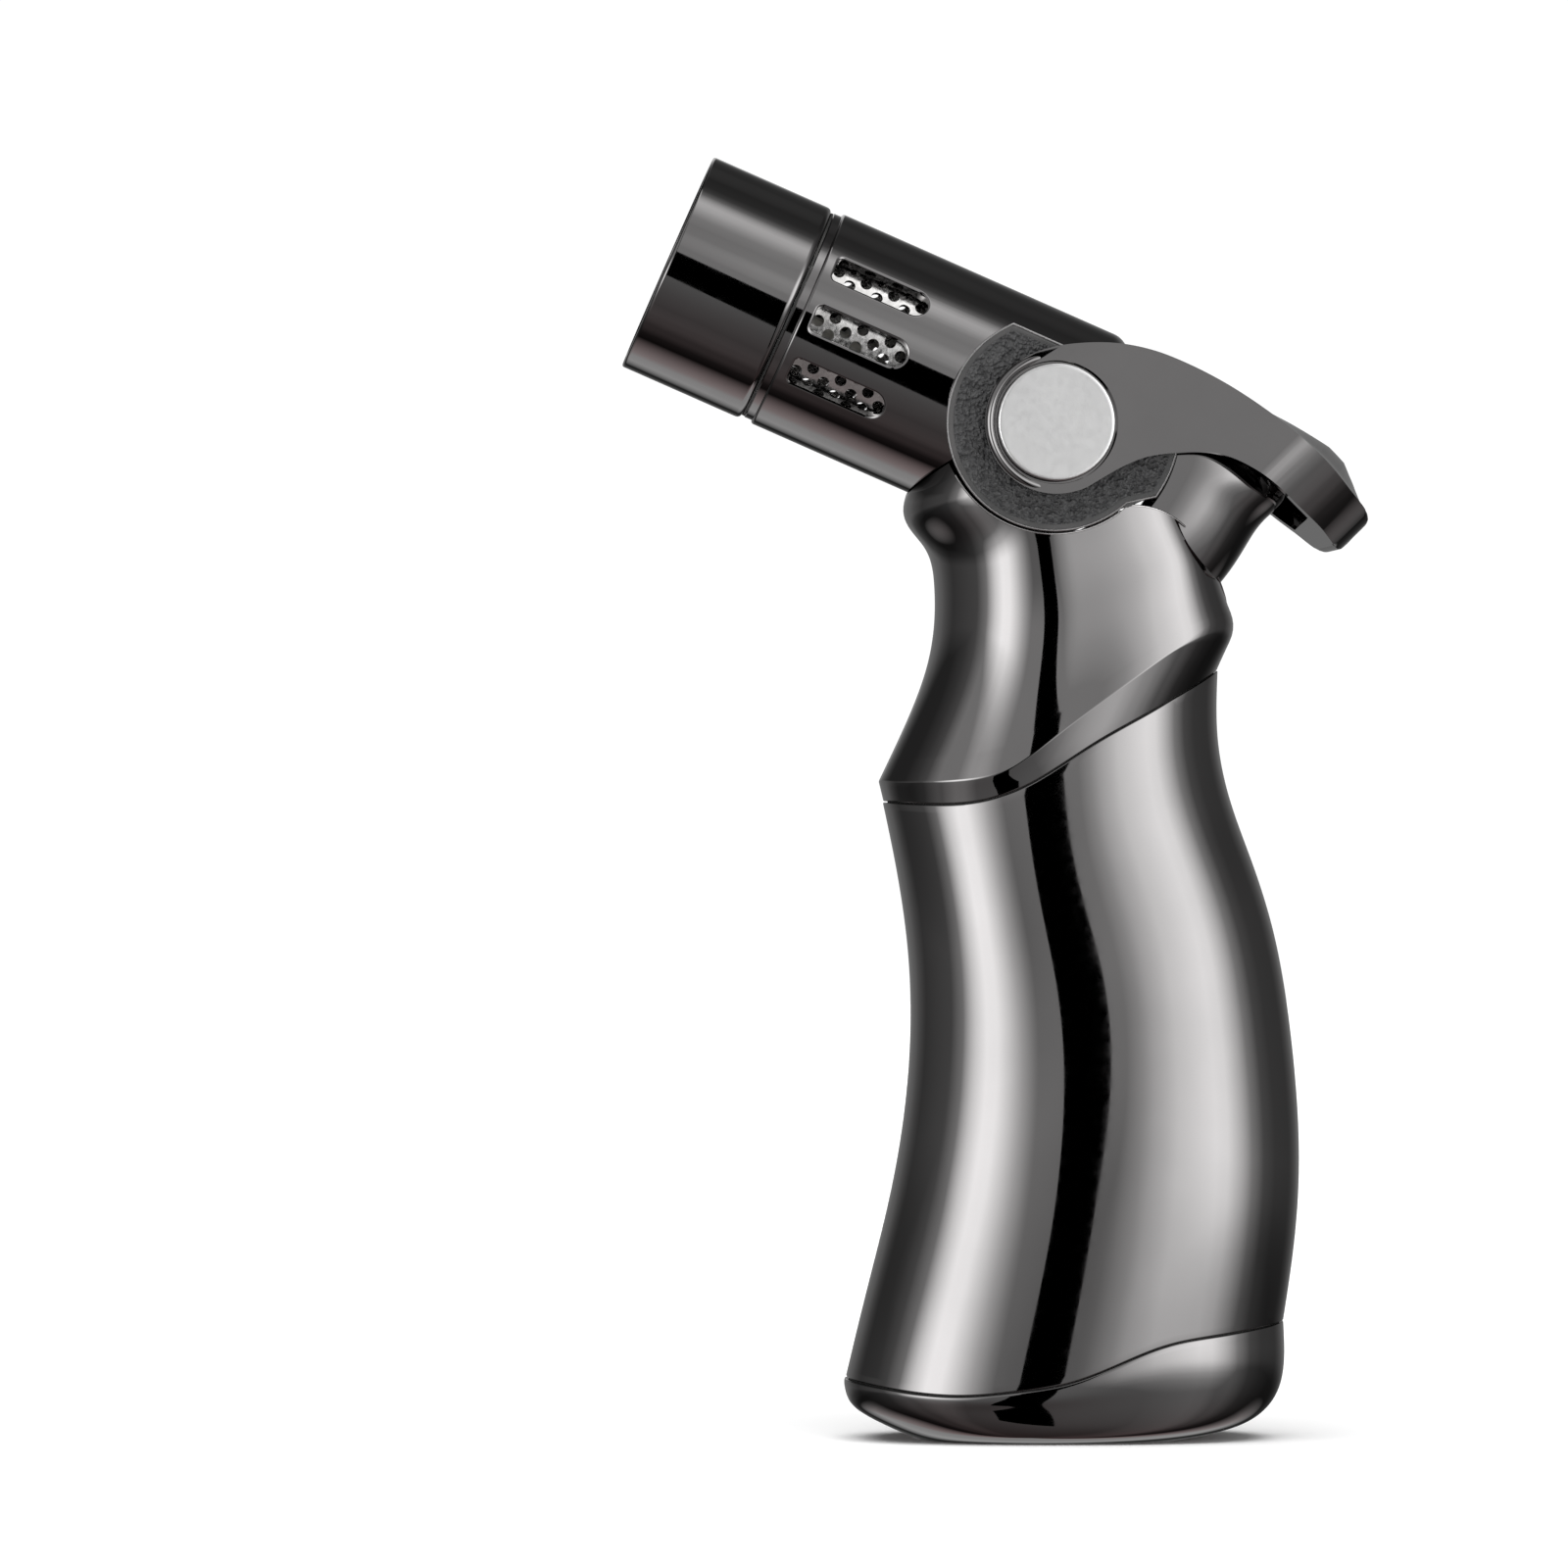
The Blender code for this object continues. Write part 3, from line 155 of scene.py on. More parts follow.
def smooth(points):
    """A natural cubic spline y(x) through points, sorted by x."""
    x, y = np.array(sorted(points), dtype=float).T
    bend = spline_bend(x, y[:, None])

    def value(at):
        return float(spline_value(x, y[:, None], bend, at)[0])

    return value


def spline_bend(x, y):
    """The second derivatives of a natural cubic spline through rows of y at x."""
    step = np.diff(x)
    count = len(x)
    matrix = np.eye(count)
    right = np.zeros((count, y.shape[1]))
    for i in range(1, count - 1):
        matrix[i, i - 1:i + 2] = step[i - 1], 2 * (step[i - 1] + step[i]), step[i]
        right[i] = 6 * ((y[i + 1] - y[i]) / step[i] - (y[i] - y[i - 1]) / step[i - 1])
    return np.linalg.solve(matrix, right)


def spline_value(x, y, bend, at):
    i = int(np.clip(np.searchsorted(x, at) - 1, 0, len(x) - 2))
    h = x[i + 1] - x[i]
    a = (x[i + 1] - at) / h
    b = (at - x[i]) / h
    cubic = (a ** 3 - a) * bend[i] + (b ** 3 - b) * bend[i + 1]
    return a * y[i] + b * y[i + 1] + cubic * h * h / 6


def by_height(points):
    return smooth([(z, x) for x, z in points])


def rise_of(line):
    """How far a seam line stands above its own chord, over its share of the way to the rear."""
    (x0, z0), (x1, z1) = line[0], line[-1]
    return smooth([((x - x0) / (x1 - x0), z - z0 - (z1 - z0) * (x - x0) / (x1 - x0)) for x, z in line])


def blend_rise(first, second, share):
    return lambda s: (1 - share) * first(s) + share * second(s)


def no_rise(share):
    return 0.0


def power(value, exponent):
    return math.copysign(abs(value) ** exponent, value)


def plan_outline(squareness):
    """Evenly spaced points of a rounded outline of unit half sizes, from its front point round."""
    turn = np.linspace(0.0, 2 * math.pi, 12 * SIDES + 1)
    exponent = np.where(np.cos(turn) > 0, 2 / squareness[0], 2 / squareness[1])
    x = -np.sign(np.cos(turn)) * np.abs(np.cos(turn)) ** exponent
    y = np.sign(np.sin(turn)) * np.abs(np.sin(turn)) ** exponent
    travel = np.concatenate([[0.0], np.cumsum(np.hypot(np.diff(x), np.diff(y)))])
    wanted = np.linspace(0.0, travel[-1], SIDES, endpoint=False)
    return list(zip(np.interp(wanted, travel, x), np.interp(wanted, travel, y)))


def section_ring(front, rear, half_width, rise, inset=0.0, drop=0.0, taper=0.0, squareness=(2.5, 2.5)):
    """A rounded ring round the body along the side-view line from front to rear; a taper widens its
    rear, and the squareness is given for its front half and its rear half."""
    ring = []
    length = rear[0] - front[0]
    for forward, sideways in plan_outline(squareness):
        x = front[0] + inset + 0.5 * (1 + forward) * (length - 2 * inset)
        share = (x - front[0]) / length
        z = front[1] + (rear[1] - front[1]) * share + rise(share) + drop
        width = (half_width - inset) * (1 + taper * (share - 0.5))
        ring.append((float(x), float(width * sideways), float(z)))
    return ring


def refine(rings, count):
    """Many rings on smooth curves through the corresponding points of a few."""
    stack = np.array(rings, dtype=float)
    flat = stack.reshape(len(rings), -1)
    travel = np.linalg.norm(np.diff(stack, axis=0), axis=2).mean(axis=1)
    place = np.concatenate([[0.0], np.cumsum(travel)])
    bend = spline_bend(place, flat)
    wanted = np.linspace(0.0, place[-1], count)
    return [spline_value(place, flat, bend, at).reshape(-1, 3).tolist() for at in wanted]


def soften(before, corner, after, radius_of, steps=5):
    """Rings that round the corner between two skins, with a radius for each point."""
    rings = []
    for k in range(steps + 1):
        t = k / steps
        ring = []
        for previous, point, following in zip(before, corner, after):
            a, b, c = Vector(previous), Vector(point), Vector(following)
            radius = radius_of(b)
            low = b + (a - b).normalized() * min(radius, 0.45 * (a - b).length)
            high = b + (c - b).normalized() * radius
            ring.append(tuple((1 - t) ** 2 * low + 2 * t * (1 - t) * b + t * t * high))
        rings.append(ring)
    return rings


def flowing(points, per_segment=8, closed=False):
    """Points on a centripetal Catmull-Rom curve through 2-D points."""
    pts = [Vector(p) for p in points]
    if closed:
        pts = [pts[-1]] + pts + [pts[0], pts[1]]
    else:
        pts = [2 * pts[0] - pts[1]] + pts + [2 * pts[-1] - pts[-2]]
    out = []
    for a, b, c, d in zip(pts, pts[1:], pts[2:], pts[3:]):
        t0 = 0.0
        t1 = t0 + (b - a).length ** 0.5
        t2 = t1 + (c - b).length ** 0.5
        t3 = t2 + (d - c).length ** 0.5
        for k in range(per_segment):
            t = t1 + (t2 - t1) * k / per_segment
            p = ((t1 - t) * a + (t - t0) * b) / (t1 - t0)
            q = ((t2 - t) * b + (t - t1) * c) / (t2 - t1)
            r = ((t3 - t) * c + (t - t2) * d) / (t3 - t2)
            p, q = ((t2 - t) * p + (t - t0) * q) / (t2 - t0), ((t3 - t) * q + (t - t1) * r) / (t3 - t1)
            out.append(tuple(((t2 - t) * p + (t - t1) * q) / (t2 - t1)))
    if not closed:
        out.append(tuple(pts[-2]))
    return out


def arc(centre, radius, start, end, steps):
    angles = np.radians(np.linspace(start, end, steps + 1))
    return [(centre[0] + radius * math.cos(a), centre[1] + radius * math.sin(a)) for a in angles]


def rounded_box_outline(half_x, half_y, corner, steps=10):
    outline = []
    for sign_x, sign_y, start in ((1, 1, 0), (-1, 1, 90), (-1, -1, 180), (1, -1, 270)):
        centre = (sign_x * (half_x - corner), sign_y * (half_y - corner))
        outline += arc(centre, corner, start, start + 90, steps)
    return outline


def offset_outline(points, distance):
    """A closed outline moved inwards, point by point, along its own normals."""
    area = sum(a[0] * b[1] - b[0] * a[1] for a, b in zip(points, points[1:] + points[:1]))
    turn = 1 if area > 0 else -1
    out = []
    count = len(points)
    for i, point in enumerate(points):
        ahead = (Vector(points[(i + 1) % count]) - Vector(points[i - 1])).normalized()
        normal = Vector((-ahead.y, ahead.x)) * turn
        out.append(tuple(Vector(point) + normal * distance))
    return out


# ---------------------------------------------------------------- meshes

def loft(rings, hollow=False):
    bm = bmesh.new()
    loops = [[bm.verts.new(point) for point in ring] for ring in rings]
    pairs = list(zip(loops, loops[1:]))
    if hollow:
        pairs.append((loops[-1], loops[0]))
    for lower, upper in pairs:
        for i in range(len(lower)):
            j = (i + 1) % len(lower)
            bm.faces.new((lower[i], lower[j], upper[j], upper[i]))
    if not hollow:
        bm.faces.new(loops[0][::-1])
        bm.faces.new(loops[-1])
    return bm


def lathe(profile, sides=96):
    """A closed (radius, height) outline turned about +Z; a radius of 0 is a point on the axis."""
    bm = bmesh.new()
    rings = []
    turn = [2 * math.pi * i / sides for i in range(sides)]
    for radius, height in profile:
        if radius == 0:
            rings.append([bm.verts.new((0, 0, height))])
        else:
            rings.append([bm.verts.new((radius * math.cos(a), radius * math.sin(a), height)) for a in turn])
    for first, second in zip(rings, rings[1:] + rings[:1]):
        if len(first) == 1 and len(second) == 1:
            continue
        for i in range(sides):
            j = (i + 1) % sides
            if len(first) == 1:
                bm.faces.new((first[0], second[i], second[j]))
            elif len(second) == 1:
                bm.faces.new((first[i], second[0], first[j]))
            else:
                bm.faces.new((first[i], second[i], second[j], first[j]))
    return bm


def rounded_profile(corners, steps=4):
    """A closed (radius, height, rounding) outline with each corner turned into a small arc."""
    out = []
    count = len(corners)
    for i, (x, y, radius) in enumerate(corners):
        point = Vector((x, y))
        if radius == 0:
            out.append((x, y))
            continue
        before = (Vector(corners[i - 1][:2]) - point).normalized()
        after = (Vector(corners[(i + 1) % count][:2]) - point).normalized()
        for k in range(steps + 1):
            t = k / steps
            out.append(tuple(point + before * radius * (1 - t) ** 2 + after * radius * t ** 2))
    return out


def rod_outline(radius, low, high):
    return [(0, low), (radius, low), (radius, high), (0, high)]


def prism(outline, low, high):
    """An outline in XZ pushed along Y."""
    return loft([[(x, y, z) for x, z in outline] for y in (low, high)])


def upright(outline, low, high):
    """An outline in XY pushed along Z."""
    return loft([[(x, y, z) for x, y in outline] for z in (low, high)])


def box(x, y, z):
    outline = [(x[0], y[0]), (x[1], y[0]), (x[1], y[1]), (x[0], y[1])]
    return upright(outline, z[0], z[1])


def round_rims(bm, width, segments=3):
    """Rounds the two rims of a prism."""
    rims = [e for e in bm.edges if e.is_manifold and any(len(f.verts) > 4 for f in e.link_faces)]
    bmesh.ops.bevel(bm, geom=rims, offset=width, segments=segments, profile=0.5, affect='EDGES',
                    clamp_overlap=True)
    return bm


def slice_up(bm, normal, places):
    """Adds edge loops where planes square to a direction cut the mesh."""
    for place in places:
        geometry = bm.verts[:] + bm.edges[:] + bm.faces[:]
        bmesh.ops.bisect_plane(bm, geom=geometry, dist=1e-5, plane_co=normal * place, plane_no=normal)
    return bm


def tube(points, radius, sides=10):
    """A round cord along 3-D points."""
    side = Vector((0, 1, 0))
    path = [Vector(p) for p in points]
    rings = []
    for i, point in enumerate(path):
        ahead = (path[min(i + 1, len(path) - 1)] - path[max(i - 1, 0)]).normalized()
        across = ahead.cross(side)
        if across.length < 1e-3:
            across = ahead.cross(Vector((1, 0, 0)))
        across.normalize()
        up = across.cross(ahead)
        turn = [2 * math.pi * k / sides for k in range(sides)]
        rings.append([point + radius * (math.cos(a) * across + math.sin(a) * up) for a in turn])
    return loft(rings)


def closed_tube(points, radius, sides=10):
    """A round bead along a closed line that lies in a plane across Y."""
    rings = []
    count = len(points)
    for i in range(count):
        ahead = (Vector(points[(i + 1) % count]) - Vector(points[i - 1])).normalized()
        across = ahead.cross(Vector((0, 1, 0)))
        turn = [2 * math.pi * k / sides for k in range(sides)]
        rings.append([Vector(points[i]) + radius * (math.cos(a) * across + math.sin(a) * Vector((0, 1, 0)))
                      for a in turn])
    return loft(rings, hollow=True)


def at(x, y, z):
    return Matrix.Translation((x, y, z))


def barrel_frame():
    """Local +Z runs back along the barrel from its front rim; local -X is its upper side."""
    return Matrix.Translation(BARREL_FRONT) @ Matrix.Rotation(math.pi / 2 + BARREL_TILT, 4, 'Y')


def in_barrel(along, side, up):
    return barrel_frame() @ Vector((-up, side, along))


def across_frame(centre):
    """Local +Z becomes world +Y."""
    return Matrix.Translation(centre) @ Matrix.Rotation(-math.pi / 2, 4, 'X')


def moved(bm, matrix):
    bmesh.ops.transform(bm, matrix=matrix, verts=bm.verts)
    return bm


def to_object(name, bm):
    bmesh.ops.recalc_face_normals(bm, faces=bm.faces)
    bmesh.ops.scale(bm, vec=(MM, MM, MM), verts=bm.verts)
    mesh = bpy.data.meshes.new(name)
    bm.to_mesh(mesh)
    bm.free()
    obj = bpy.data.objects.new(name, mesh)
    bpy.context.scene.collection.objects.link(obj)
    return obj


def applied(obj):
    """Bakes an object's modifiers into its mesh."""
    bpy.context.view_layer.update()
    mesh = bpy.data.meshes.new_from_object(obj.evaluated_get(bpy.context.evaluated_depsgraph_get()))
    obj.modifiers.clear()
    old = obj.data
    obj.data = mesh
    bpy.data.meshes.remove(old)
    return obj


def combine(obj, other, operation='DIFFERENCE'):
    """Cuts a bmesh from an object, or joins it on."""
    tool = to_object("tool", other)
    modifier = obj.modifiers.new("cut", 'BOOLEAN')
    modifier.operation = operation
    modifier.solver = 'EXACT'
    modifier.object = tool
    applied(obj)
    mesh = tool.data
    bpy.data.objects.remove(tool)
    bpy.data.meshes.remove(mesh)
    return obj


def dress(obj, name, finish, body, nodes=()):
    """Names a finished piece, gives it its material and its body, and hides the CAD nodes it stands for."""
    obj.name = name
    obj.data.shade_smooth()
    obj.data.set_sharp_from_angle(angle=math.radians(32))
    modifier = obj.modifiers.new("normals", 'WEIGHTED_NORMAL')
    modifier.keep_sharp = True
    applied(obj)
    obj.data.name = name
    obj.data.materials.clear()
    obj.data.materials.append(FINISHES[finish])
    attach(obj, body)
    if nodes:
        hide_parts(*nodes)
    return obj


def piece(name, bm, finish, body, nodes=()):
    return dress(to_object(name, bm), name, finish, body, nodes)


# ---------------------------------------------------------------- materials

def new_material(name):
    material = bpy.data.materials.new(name)
    material.use_nodes = True
    return material, material.node_tree, material.node_tree.nodes["Principled BSDF"]


def noise(tree, scale, detail=3.0, stretch=(1, 1, 1)):
    """Noise in the object's own coordinates; the scale counts features in a metre."""
    place = tree.nodes.new("ShaderNodeTexCoord")
    mapping = tree.nodes.new("ShaderNodeMapping")
    mapping.inputs["Scale"].default_value = stretch
    texture = tree.nodes.new("ShaderNodeTexNoise")
    texture.inputs["Scale"].default_value = scale
    texture.inputs["Detail"].default_value = detail
    tree.links.new(place.outputs["Object"], mapping.inputs["Vector"])
    tree.links.new(mapping.outputs["Vector"], texture.inputs["Vector"])
    return texture.outputs["Fac"]


def spread(tree, value, low, high, start=0.3, end=0.7):
    """Maps a noise value onto a range."""
    node = tree.nodes.new("ShaderNodeMapRange")
    node.inputs["From Min"].default_value = start
    node.inputs["From Max"].default_value = end
    node.inputs["To Min"].default_value = low
    node.inputs["To Max"].default_value = high
    tree.links.new(value, node.inputs["Value"])
    return node.outputs["Result"]


def two_tone(tree, value, first, second, start=0.35, end=0.65):
    ramp = tree.nodes.new("ShaderNodeValToRGB")
    ramp.color_ramp.elements[0].position = start
    ramp.color_ramp.elements[0].color = (*first, 1)
    ramp.color_ramp.elements[1].position = end
    ramp.color_ramp.elements[1].color = (*second, 1)
    tree.links.new(value, ramp.inputs["Fac"])
    return ramp.outputs["Color"]


def bump(tree, shader, height, distance, strength=1.0):
    node = tree.nodes.new("ShaderNodeBump")
    node.inputs["Distance"].default_value = distance * MM
    node.inputs["Strength"].default_value = strength
    tree.links.new(height, node.inputs["Height"])
    tree.links.new(node.outputs["Normal"], shader.inputs["Normal"])


def varied(name, tones, roughness, metallic=0.0, tone_scale=120, rough_scale=400, bump_scale=None,
           bump_height=0.01, stretch=(1, 1, 1), detail=4.0):
    """A finish whose colour and roughness drift over the surface, with an optional fine relief."""
    material, tree, shader = new_material(name)
    shader.inputs["Metallic"].default_value = metallic
    tree.links.new(two_tone(tree, noise(tree, tone_scale), *tones), shader.inputs["Base Color"])
    tree.links.new(spread(tree, noise(tree, rough_scale, detail, stretch), *roughness),
                   shader.inputs["Roughness"])
    if bump_scale:
        bump(tree, shader, noise(tree, bump_scale, detail, stretch), bump_height)
    return material


def black_chrome():
    return varied("black_chrome", ((0.212, 0.207, 0.207), (0.228, 0.222, 0.222)), (0.02, 0.045), 1.0,
                  tone_scale=60, rough_scale=900)


def grain_finish():
    """Moulded black plastic with a fine leather grain."""
    material, tree, shader = new_material("leather_grain")
    cells = tree.nodes.new("ShaderNodeTexVoronoi")
    cells.feature = 'SMOOTH_F1'
    cells.inputs["Scale"].default_value = 3000
    place = tree.nodes.new("ShaderNodeTexCoord")
    tree.links.new(place.outputs["Object"], cells.inputs["Vector"])
    height = math_node(tree, 'ADD', cells.outputs["Distance"], noise(tree, 1500, 2.0))
    height = spread(tree, height, 1.0, 0.0, 0.6, 1.3)
    tree.links.new(two_tone(tree, height, (0.02, 0.02, 0.021), (0.06, 0.06, 0.061), 0.0, 1.0),
                   shader.inputs["Base Color"])
    tree.links.new(spread(tree, noise(tree, 700), 0.4, 0.52), shader.inputs["Roughness"])
    bump(tree, shader, height, 0.3, 1.0)
    return material


def liner_finish():
    return varied("perforated_steel", ((0.62, 0.61, 0.6), (0.86, 0.85, 0.84)), (0.12, 0.3), 1.0,
                  tone_scale=500, rough_scale=2500, bump_scale=2500, bump_height=0.01)


def make_finishes():
    return {
        "chrome": black_chrome(),
        "satin": varied("satin_steel", ((0.8, 0.8, 0.8), (0.85, 0.85, 0.847)), (0.3, 0.36), 1.0,
                        tone_scale=90, rough_scale=1600),
        # The rim beads' finish: a lighter metal than the black chrome, which paints the thin highlight that
        # runs along the rims.
        "painted_highlight_edge": varied("painted_highlight_edge", ((0.5, 0.49, 0.49), (0.58, 0.57, 0.57)), (0.22, 0.34), 1.0),
        "grain": grain_finish(),
        "gloss_black": varied("gloss_black", ((0.05, 0.05, 0.05), (0.075, 0.073, 0.073)), (0.12, 0.24)),
        "liner": liner_finish(),
        "matte": varied("matte_black", ((0.014, 0.014, 0.014), (0.035, 0.034, 0.033)), (0.5, 0.72),
                        bump_scale=1800, bump_height=0.03),
        "brass": varied("aged_brass", ((0.5, 0.36, 0.17), (0.78, 0.68, 0.5)), (0.18, 0.42), 1.0,
                        tone_scale=450, rough_scale=1500, bump_scale=1800, bump_height=0.012),
        "steel": varied("bright_steel", ((0.6, 0.58, 0.55), (0.85, 0.84, 0.82)), (0.16, 0.36), 1.0,
                        tone_scale=600, rough_scale=2400, bump_scale=2400, bump_height=0.012),
        "machined": varied("machined_steel", ((0.5, 0.5, 0.5), (0.66, 0.66, 0.66)), (0.24, 0.4), 1.0,
                           tone_scale=200, rough_scale=1500, bump_scale=1500, bump_height=0.008),
        "ceramic": varied("ceramic", ((0.72, 0.7, 0.66), (0.84, 0.82, 0.78)), (0.2, 0.38),
                          bump_scale=900, bump_height=0.01),
        "tank": varied("tank_plastic", ((0.5, 0.56, 0.58), (0.6, 0.65, 0.67)), (0.2, 0.34),
                       tone_scale=60, bump_scale=500, bump_height=0.02),
        "pale": varied("pale_plastic", ((0.62, 0.6, 0.54), (0.74, 0.72, 0.66)), (0.38, 0.52),
                       tone_scale=90, bump_scale=1200, bump_height=0.012),
        "rubber": varied("rubber", ((0.02, 0.02, 0.02), (0.05, 0.05, 0.05)), (0.6, 0.78),
                         bump_scale=1500, bump_height=0.02),
    }


# ---------------------------------------------------------------- barrel

def slot_angles():
    for side in (90, 270):
        for step in (-1, 0, 1):
            yield math.radians(side) + step * SLOT_PITCH_ANGLE


def slot_outline(growth, steps=14):
    half = SLOT_WIDTH / 2
    low = SLOT_START + SLOT_CORNER
    outline = arc((0, SLOT_START + SLOT_LENGTH - half), half + growth, 0, 180, steps)
    outline += arc((SLOT_CORNER - half, low), SLOT_CORNER + growth, 180, 270, steps // 2)
    return outline + arc((half - SLOT_CORNER, low), SLOT_CORNER + growth, 270, 360, steps // 2)


def slot_tool():
    """Slots that follow the barrel's curve, with rims that open out to its surface."""
    layers = [(LINER_RADIUS - 1, 0.0), (BARREL_RADIUS - SLOT_RIM, 0.0),
              (BARREL_RADIUS - 0.4 * SLOT_RIM, 0.12), (BARREL_RADIUS - 0.1 * SLOT_RIM, 0.6),
              (BARREL_RADIUS, 1.0), (BARREL_RADIUS + 1.5, 1.3)]
    joined = bmesh.new()
    for angle in slot_angles():
        rings = []
        for radius, share in layers:
            ring = []
            for across, along in slot_outline(SLOT_RIM * share):
                turn = math.pi + angle + across / BARREL_RADIUS
                ring.append((radius * math.cos(turn), radius * math.sin(turn), along))
            rings.append(ring)
        single = loft(rings)
        part = bpy.data.meshes.new("slot")
        single.to_mesh(part)
        joined.from_mesh(part)
        single.free()
        bpy.data.meshes.remove(part)
    return moved(joined, barrel_frame())


def barrel():
    inner = BARREL_RADIUS - BARREL_WALL
    start = COLLAR_LENGTH + GAP
    shoulder = COLLAR_LENGTH + GROOVE_LENGTH
    groove = BARREL_RADIUS - GROOVE_DEPTH
    round_centre = (BARREL_RADIUS - BARREL_END_ROUND, BARREL_LENGTH - BARREL_END_ROUND)
    profile = [(inner, start), (groove - 0.1, start), (groove, start + 0.1), (groove, shoulder - 0.35)]
    profile += arc((BARREL_RADIUS - 0.35, shoulder + 0.1), 0.35, -90, 0, 5)
    profile += arc(round_centre, BARREL_END_ROUND, 0, 90, 14)
    back_wall = BARREL_LENGTH - BARREL_WALL
    profile += [(2.0, BARREL_LENGTH), (2.0, back_wall), (inner, back_wall)]
    shell = to_object("barrel", moved(lathe(profile, SIDES), barrel_frame()))
    combine(shell, slot_tool())
    combine(shell, moved(lathe(rod_outline(PIN_RADIUS + GAP, -16, 16), 48), across_frame(PIVOT)))
    combine(shell, moved(box((9.5, 15), (-5.5, 5.5), (39.5, 46)), barrel_frame()))
    dress(shell, "barrel_tube", "chrome", "casing", ["barrel_shell"])
    straighten_normals(shell)


def straighten_normals(shell):
    """Gives the barrel's round face its true normals, which the cut slots would otherwise disturb."""
    to_local = barrel_frame().inverted()
    turn = barrel_frame().to_3x3()
    mesh = shell.data
    normals = [Vector(corner.vector) for corner in mesh.corner_normals]
    for face in mesh.polygons:
        middle = to_local @ (face.center / MM)
        outward = turn @ Vector((middle.x, middle.y, 0)).normalized()
        off_face = abs(Vector((middle.x, middle.y)).length - BARREL_RADIUS) > 0.03
        if off_face or face.normal.dot(outward) < 0.9995:
            continue
        for corner in face.loop_indices:
            point = to_local @ (mesh.vertices[mesh.loops[corner].vertex_index].co / MM)
            normals[corner] = turn @ Vector((point.x, point.y, 0)).normalized()
    mesh.normals_split_custom_set(normals)


def painted_shade_groove_ring():
    """Closes the groove between the collar and the barrel with a matte black ring, which paints shade where
    the barrel's own chrome groove would be.
    """
    inner = COLLAR_BORE + 0.05
    outer = BARREL_RADIUS - GROOVE_DEPTH - 0.1
    low = COLLAR_LENGTH + 0.03
    high = COLLAR_LENGTH + GAP - 0.03
    corners = [(inner, low, 0), (outer, low, 0), (outer, high, 0), (inner, high, 0)]
    # Matte black here is painted shade in the groove.
    piece("painted_shade_groove_ring", moved(lathe(rounded_profile(corners), SIDES), barrel_frame()), "matte", "casing")


def collar():
    corners = [(COLLAR_BORE, 0, 0.3), (BARREL_RADIUS, 0, 0.35), (BARREL_RADIUS, COLLAR_LENGTH, 0.75),
               (COLLAR_BORE, COLLAR_LENGTH, 0.1)]
    bm = moved(lathe(rounded_profile(corners, 6), SIDES), barrel_frame())
    piece("nozzle_ring", bm, "chrome", "casing", ["nozzle_collar"])


def liner():
    """A perforated sheet made cell by cell, rolled into a tube."""
    low, high = LINER_RANGE
    row_step = 2 * math.pi / HOLE_ROWS
    half_row = row_step / 2 * LINER_RADIUS * 2
    rise_side = HOLE_PITCH / 4 - half_row ** 2 / HOLE_PITCH
    rise_tip = HOLE_PITCH / 4 + half_row ** 2 / HOLE_PITCH
    hexagon = [(half_row, rise_side), (0, rise_tip), (-half_row, rise_side), (-half_row, -rise_side),
               (0, -rise_tip), (half_row, -rise_side)]
    edge = []
    for a, b in zip(hexagon, hexagon[1:] + hexagon[:1]):
        edge += [(a[0] + (b[0] - a[0]) * k / 3, a[1] + (b[1] - a[1]) * k / 3) for k in range(3)]
    bm = bmesh.new()

    def on_tube(across, along):
        angle = across / LINER_RADIUS
        along = min(max(along, low), high)
        return bm.verts.new((LINER_RADIUS * math.cos(angle), LINER_RADIUS * math.sin(angle), along))

    for row in range(HOLE_ROWS):
        across = row * row_step * LINER_RADIUS
        along = SLOT_START + SLOT_LENGTH / 2 - 5 * HOLE_PITCH + (row % 2) * HOLE_PITCH / 2
        while along < high + rise_tip:
            if along > low - rise_tip:
                rim = [on_tube(across + x, along + y) for x, y in edge]
                if low + 0.9 < along < high - 0.9:
                    turns = [math.atan2(y, x) for x, y in edge]
                    hole = [on_tube(across + HOLE_RADIUS * math.cos(t), along + HOLE_RADIUS * math.sin(t))
                            for t in turns]
                    for i in range(len(rim)):
                        j = (i + 1) % len(rim)
                        bm.faces.new((rim[i], rim[j], hole[j], hole[i]))
                else:
                    bm.faces.new(rim)
            along += HOLE_PITCH
    bmesh.ops.remove_doubles(bm, verts=bm.verts, dist=0.02)
    bmesh.ops.dissolve_degenerate(bm, dist=0.001, edges=bm.edges)
    sheet = to_object("liner", moved(bm, barrel_frame()))
    modifier = sheet.modifiers.new("thick", 'SOLIDIFY')
    modifier.thickness = LINER_THICKNESS * MM
    modifier.offset = -1
    applied(sheet)
    dress(sheet, "vent_liner", "liner", "casing", ["mesh_liner"])


def jet_places():
    half = JET_GRID / 2
    return [(-half, -half), (-half, half), (half, -half), (half, half)]


def electrode_rod(radius, low, high, sides=24):
    bm = lathe(rod_outline(radius, low, high), sides)
    lean = Matrix.Shear('XY', 4, (0.0, 0.12))
    shift = at(-ELECTRODE_UP, ELECTRODE_SIDE - 0.12 * CAVITY_DEPTH, 0)
    return moved(bm, barrel_frame() @ shift @ lean)


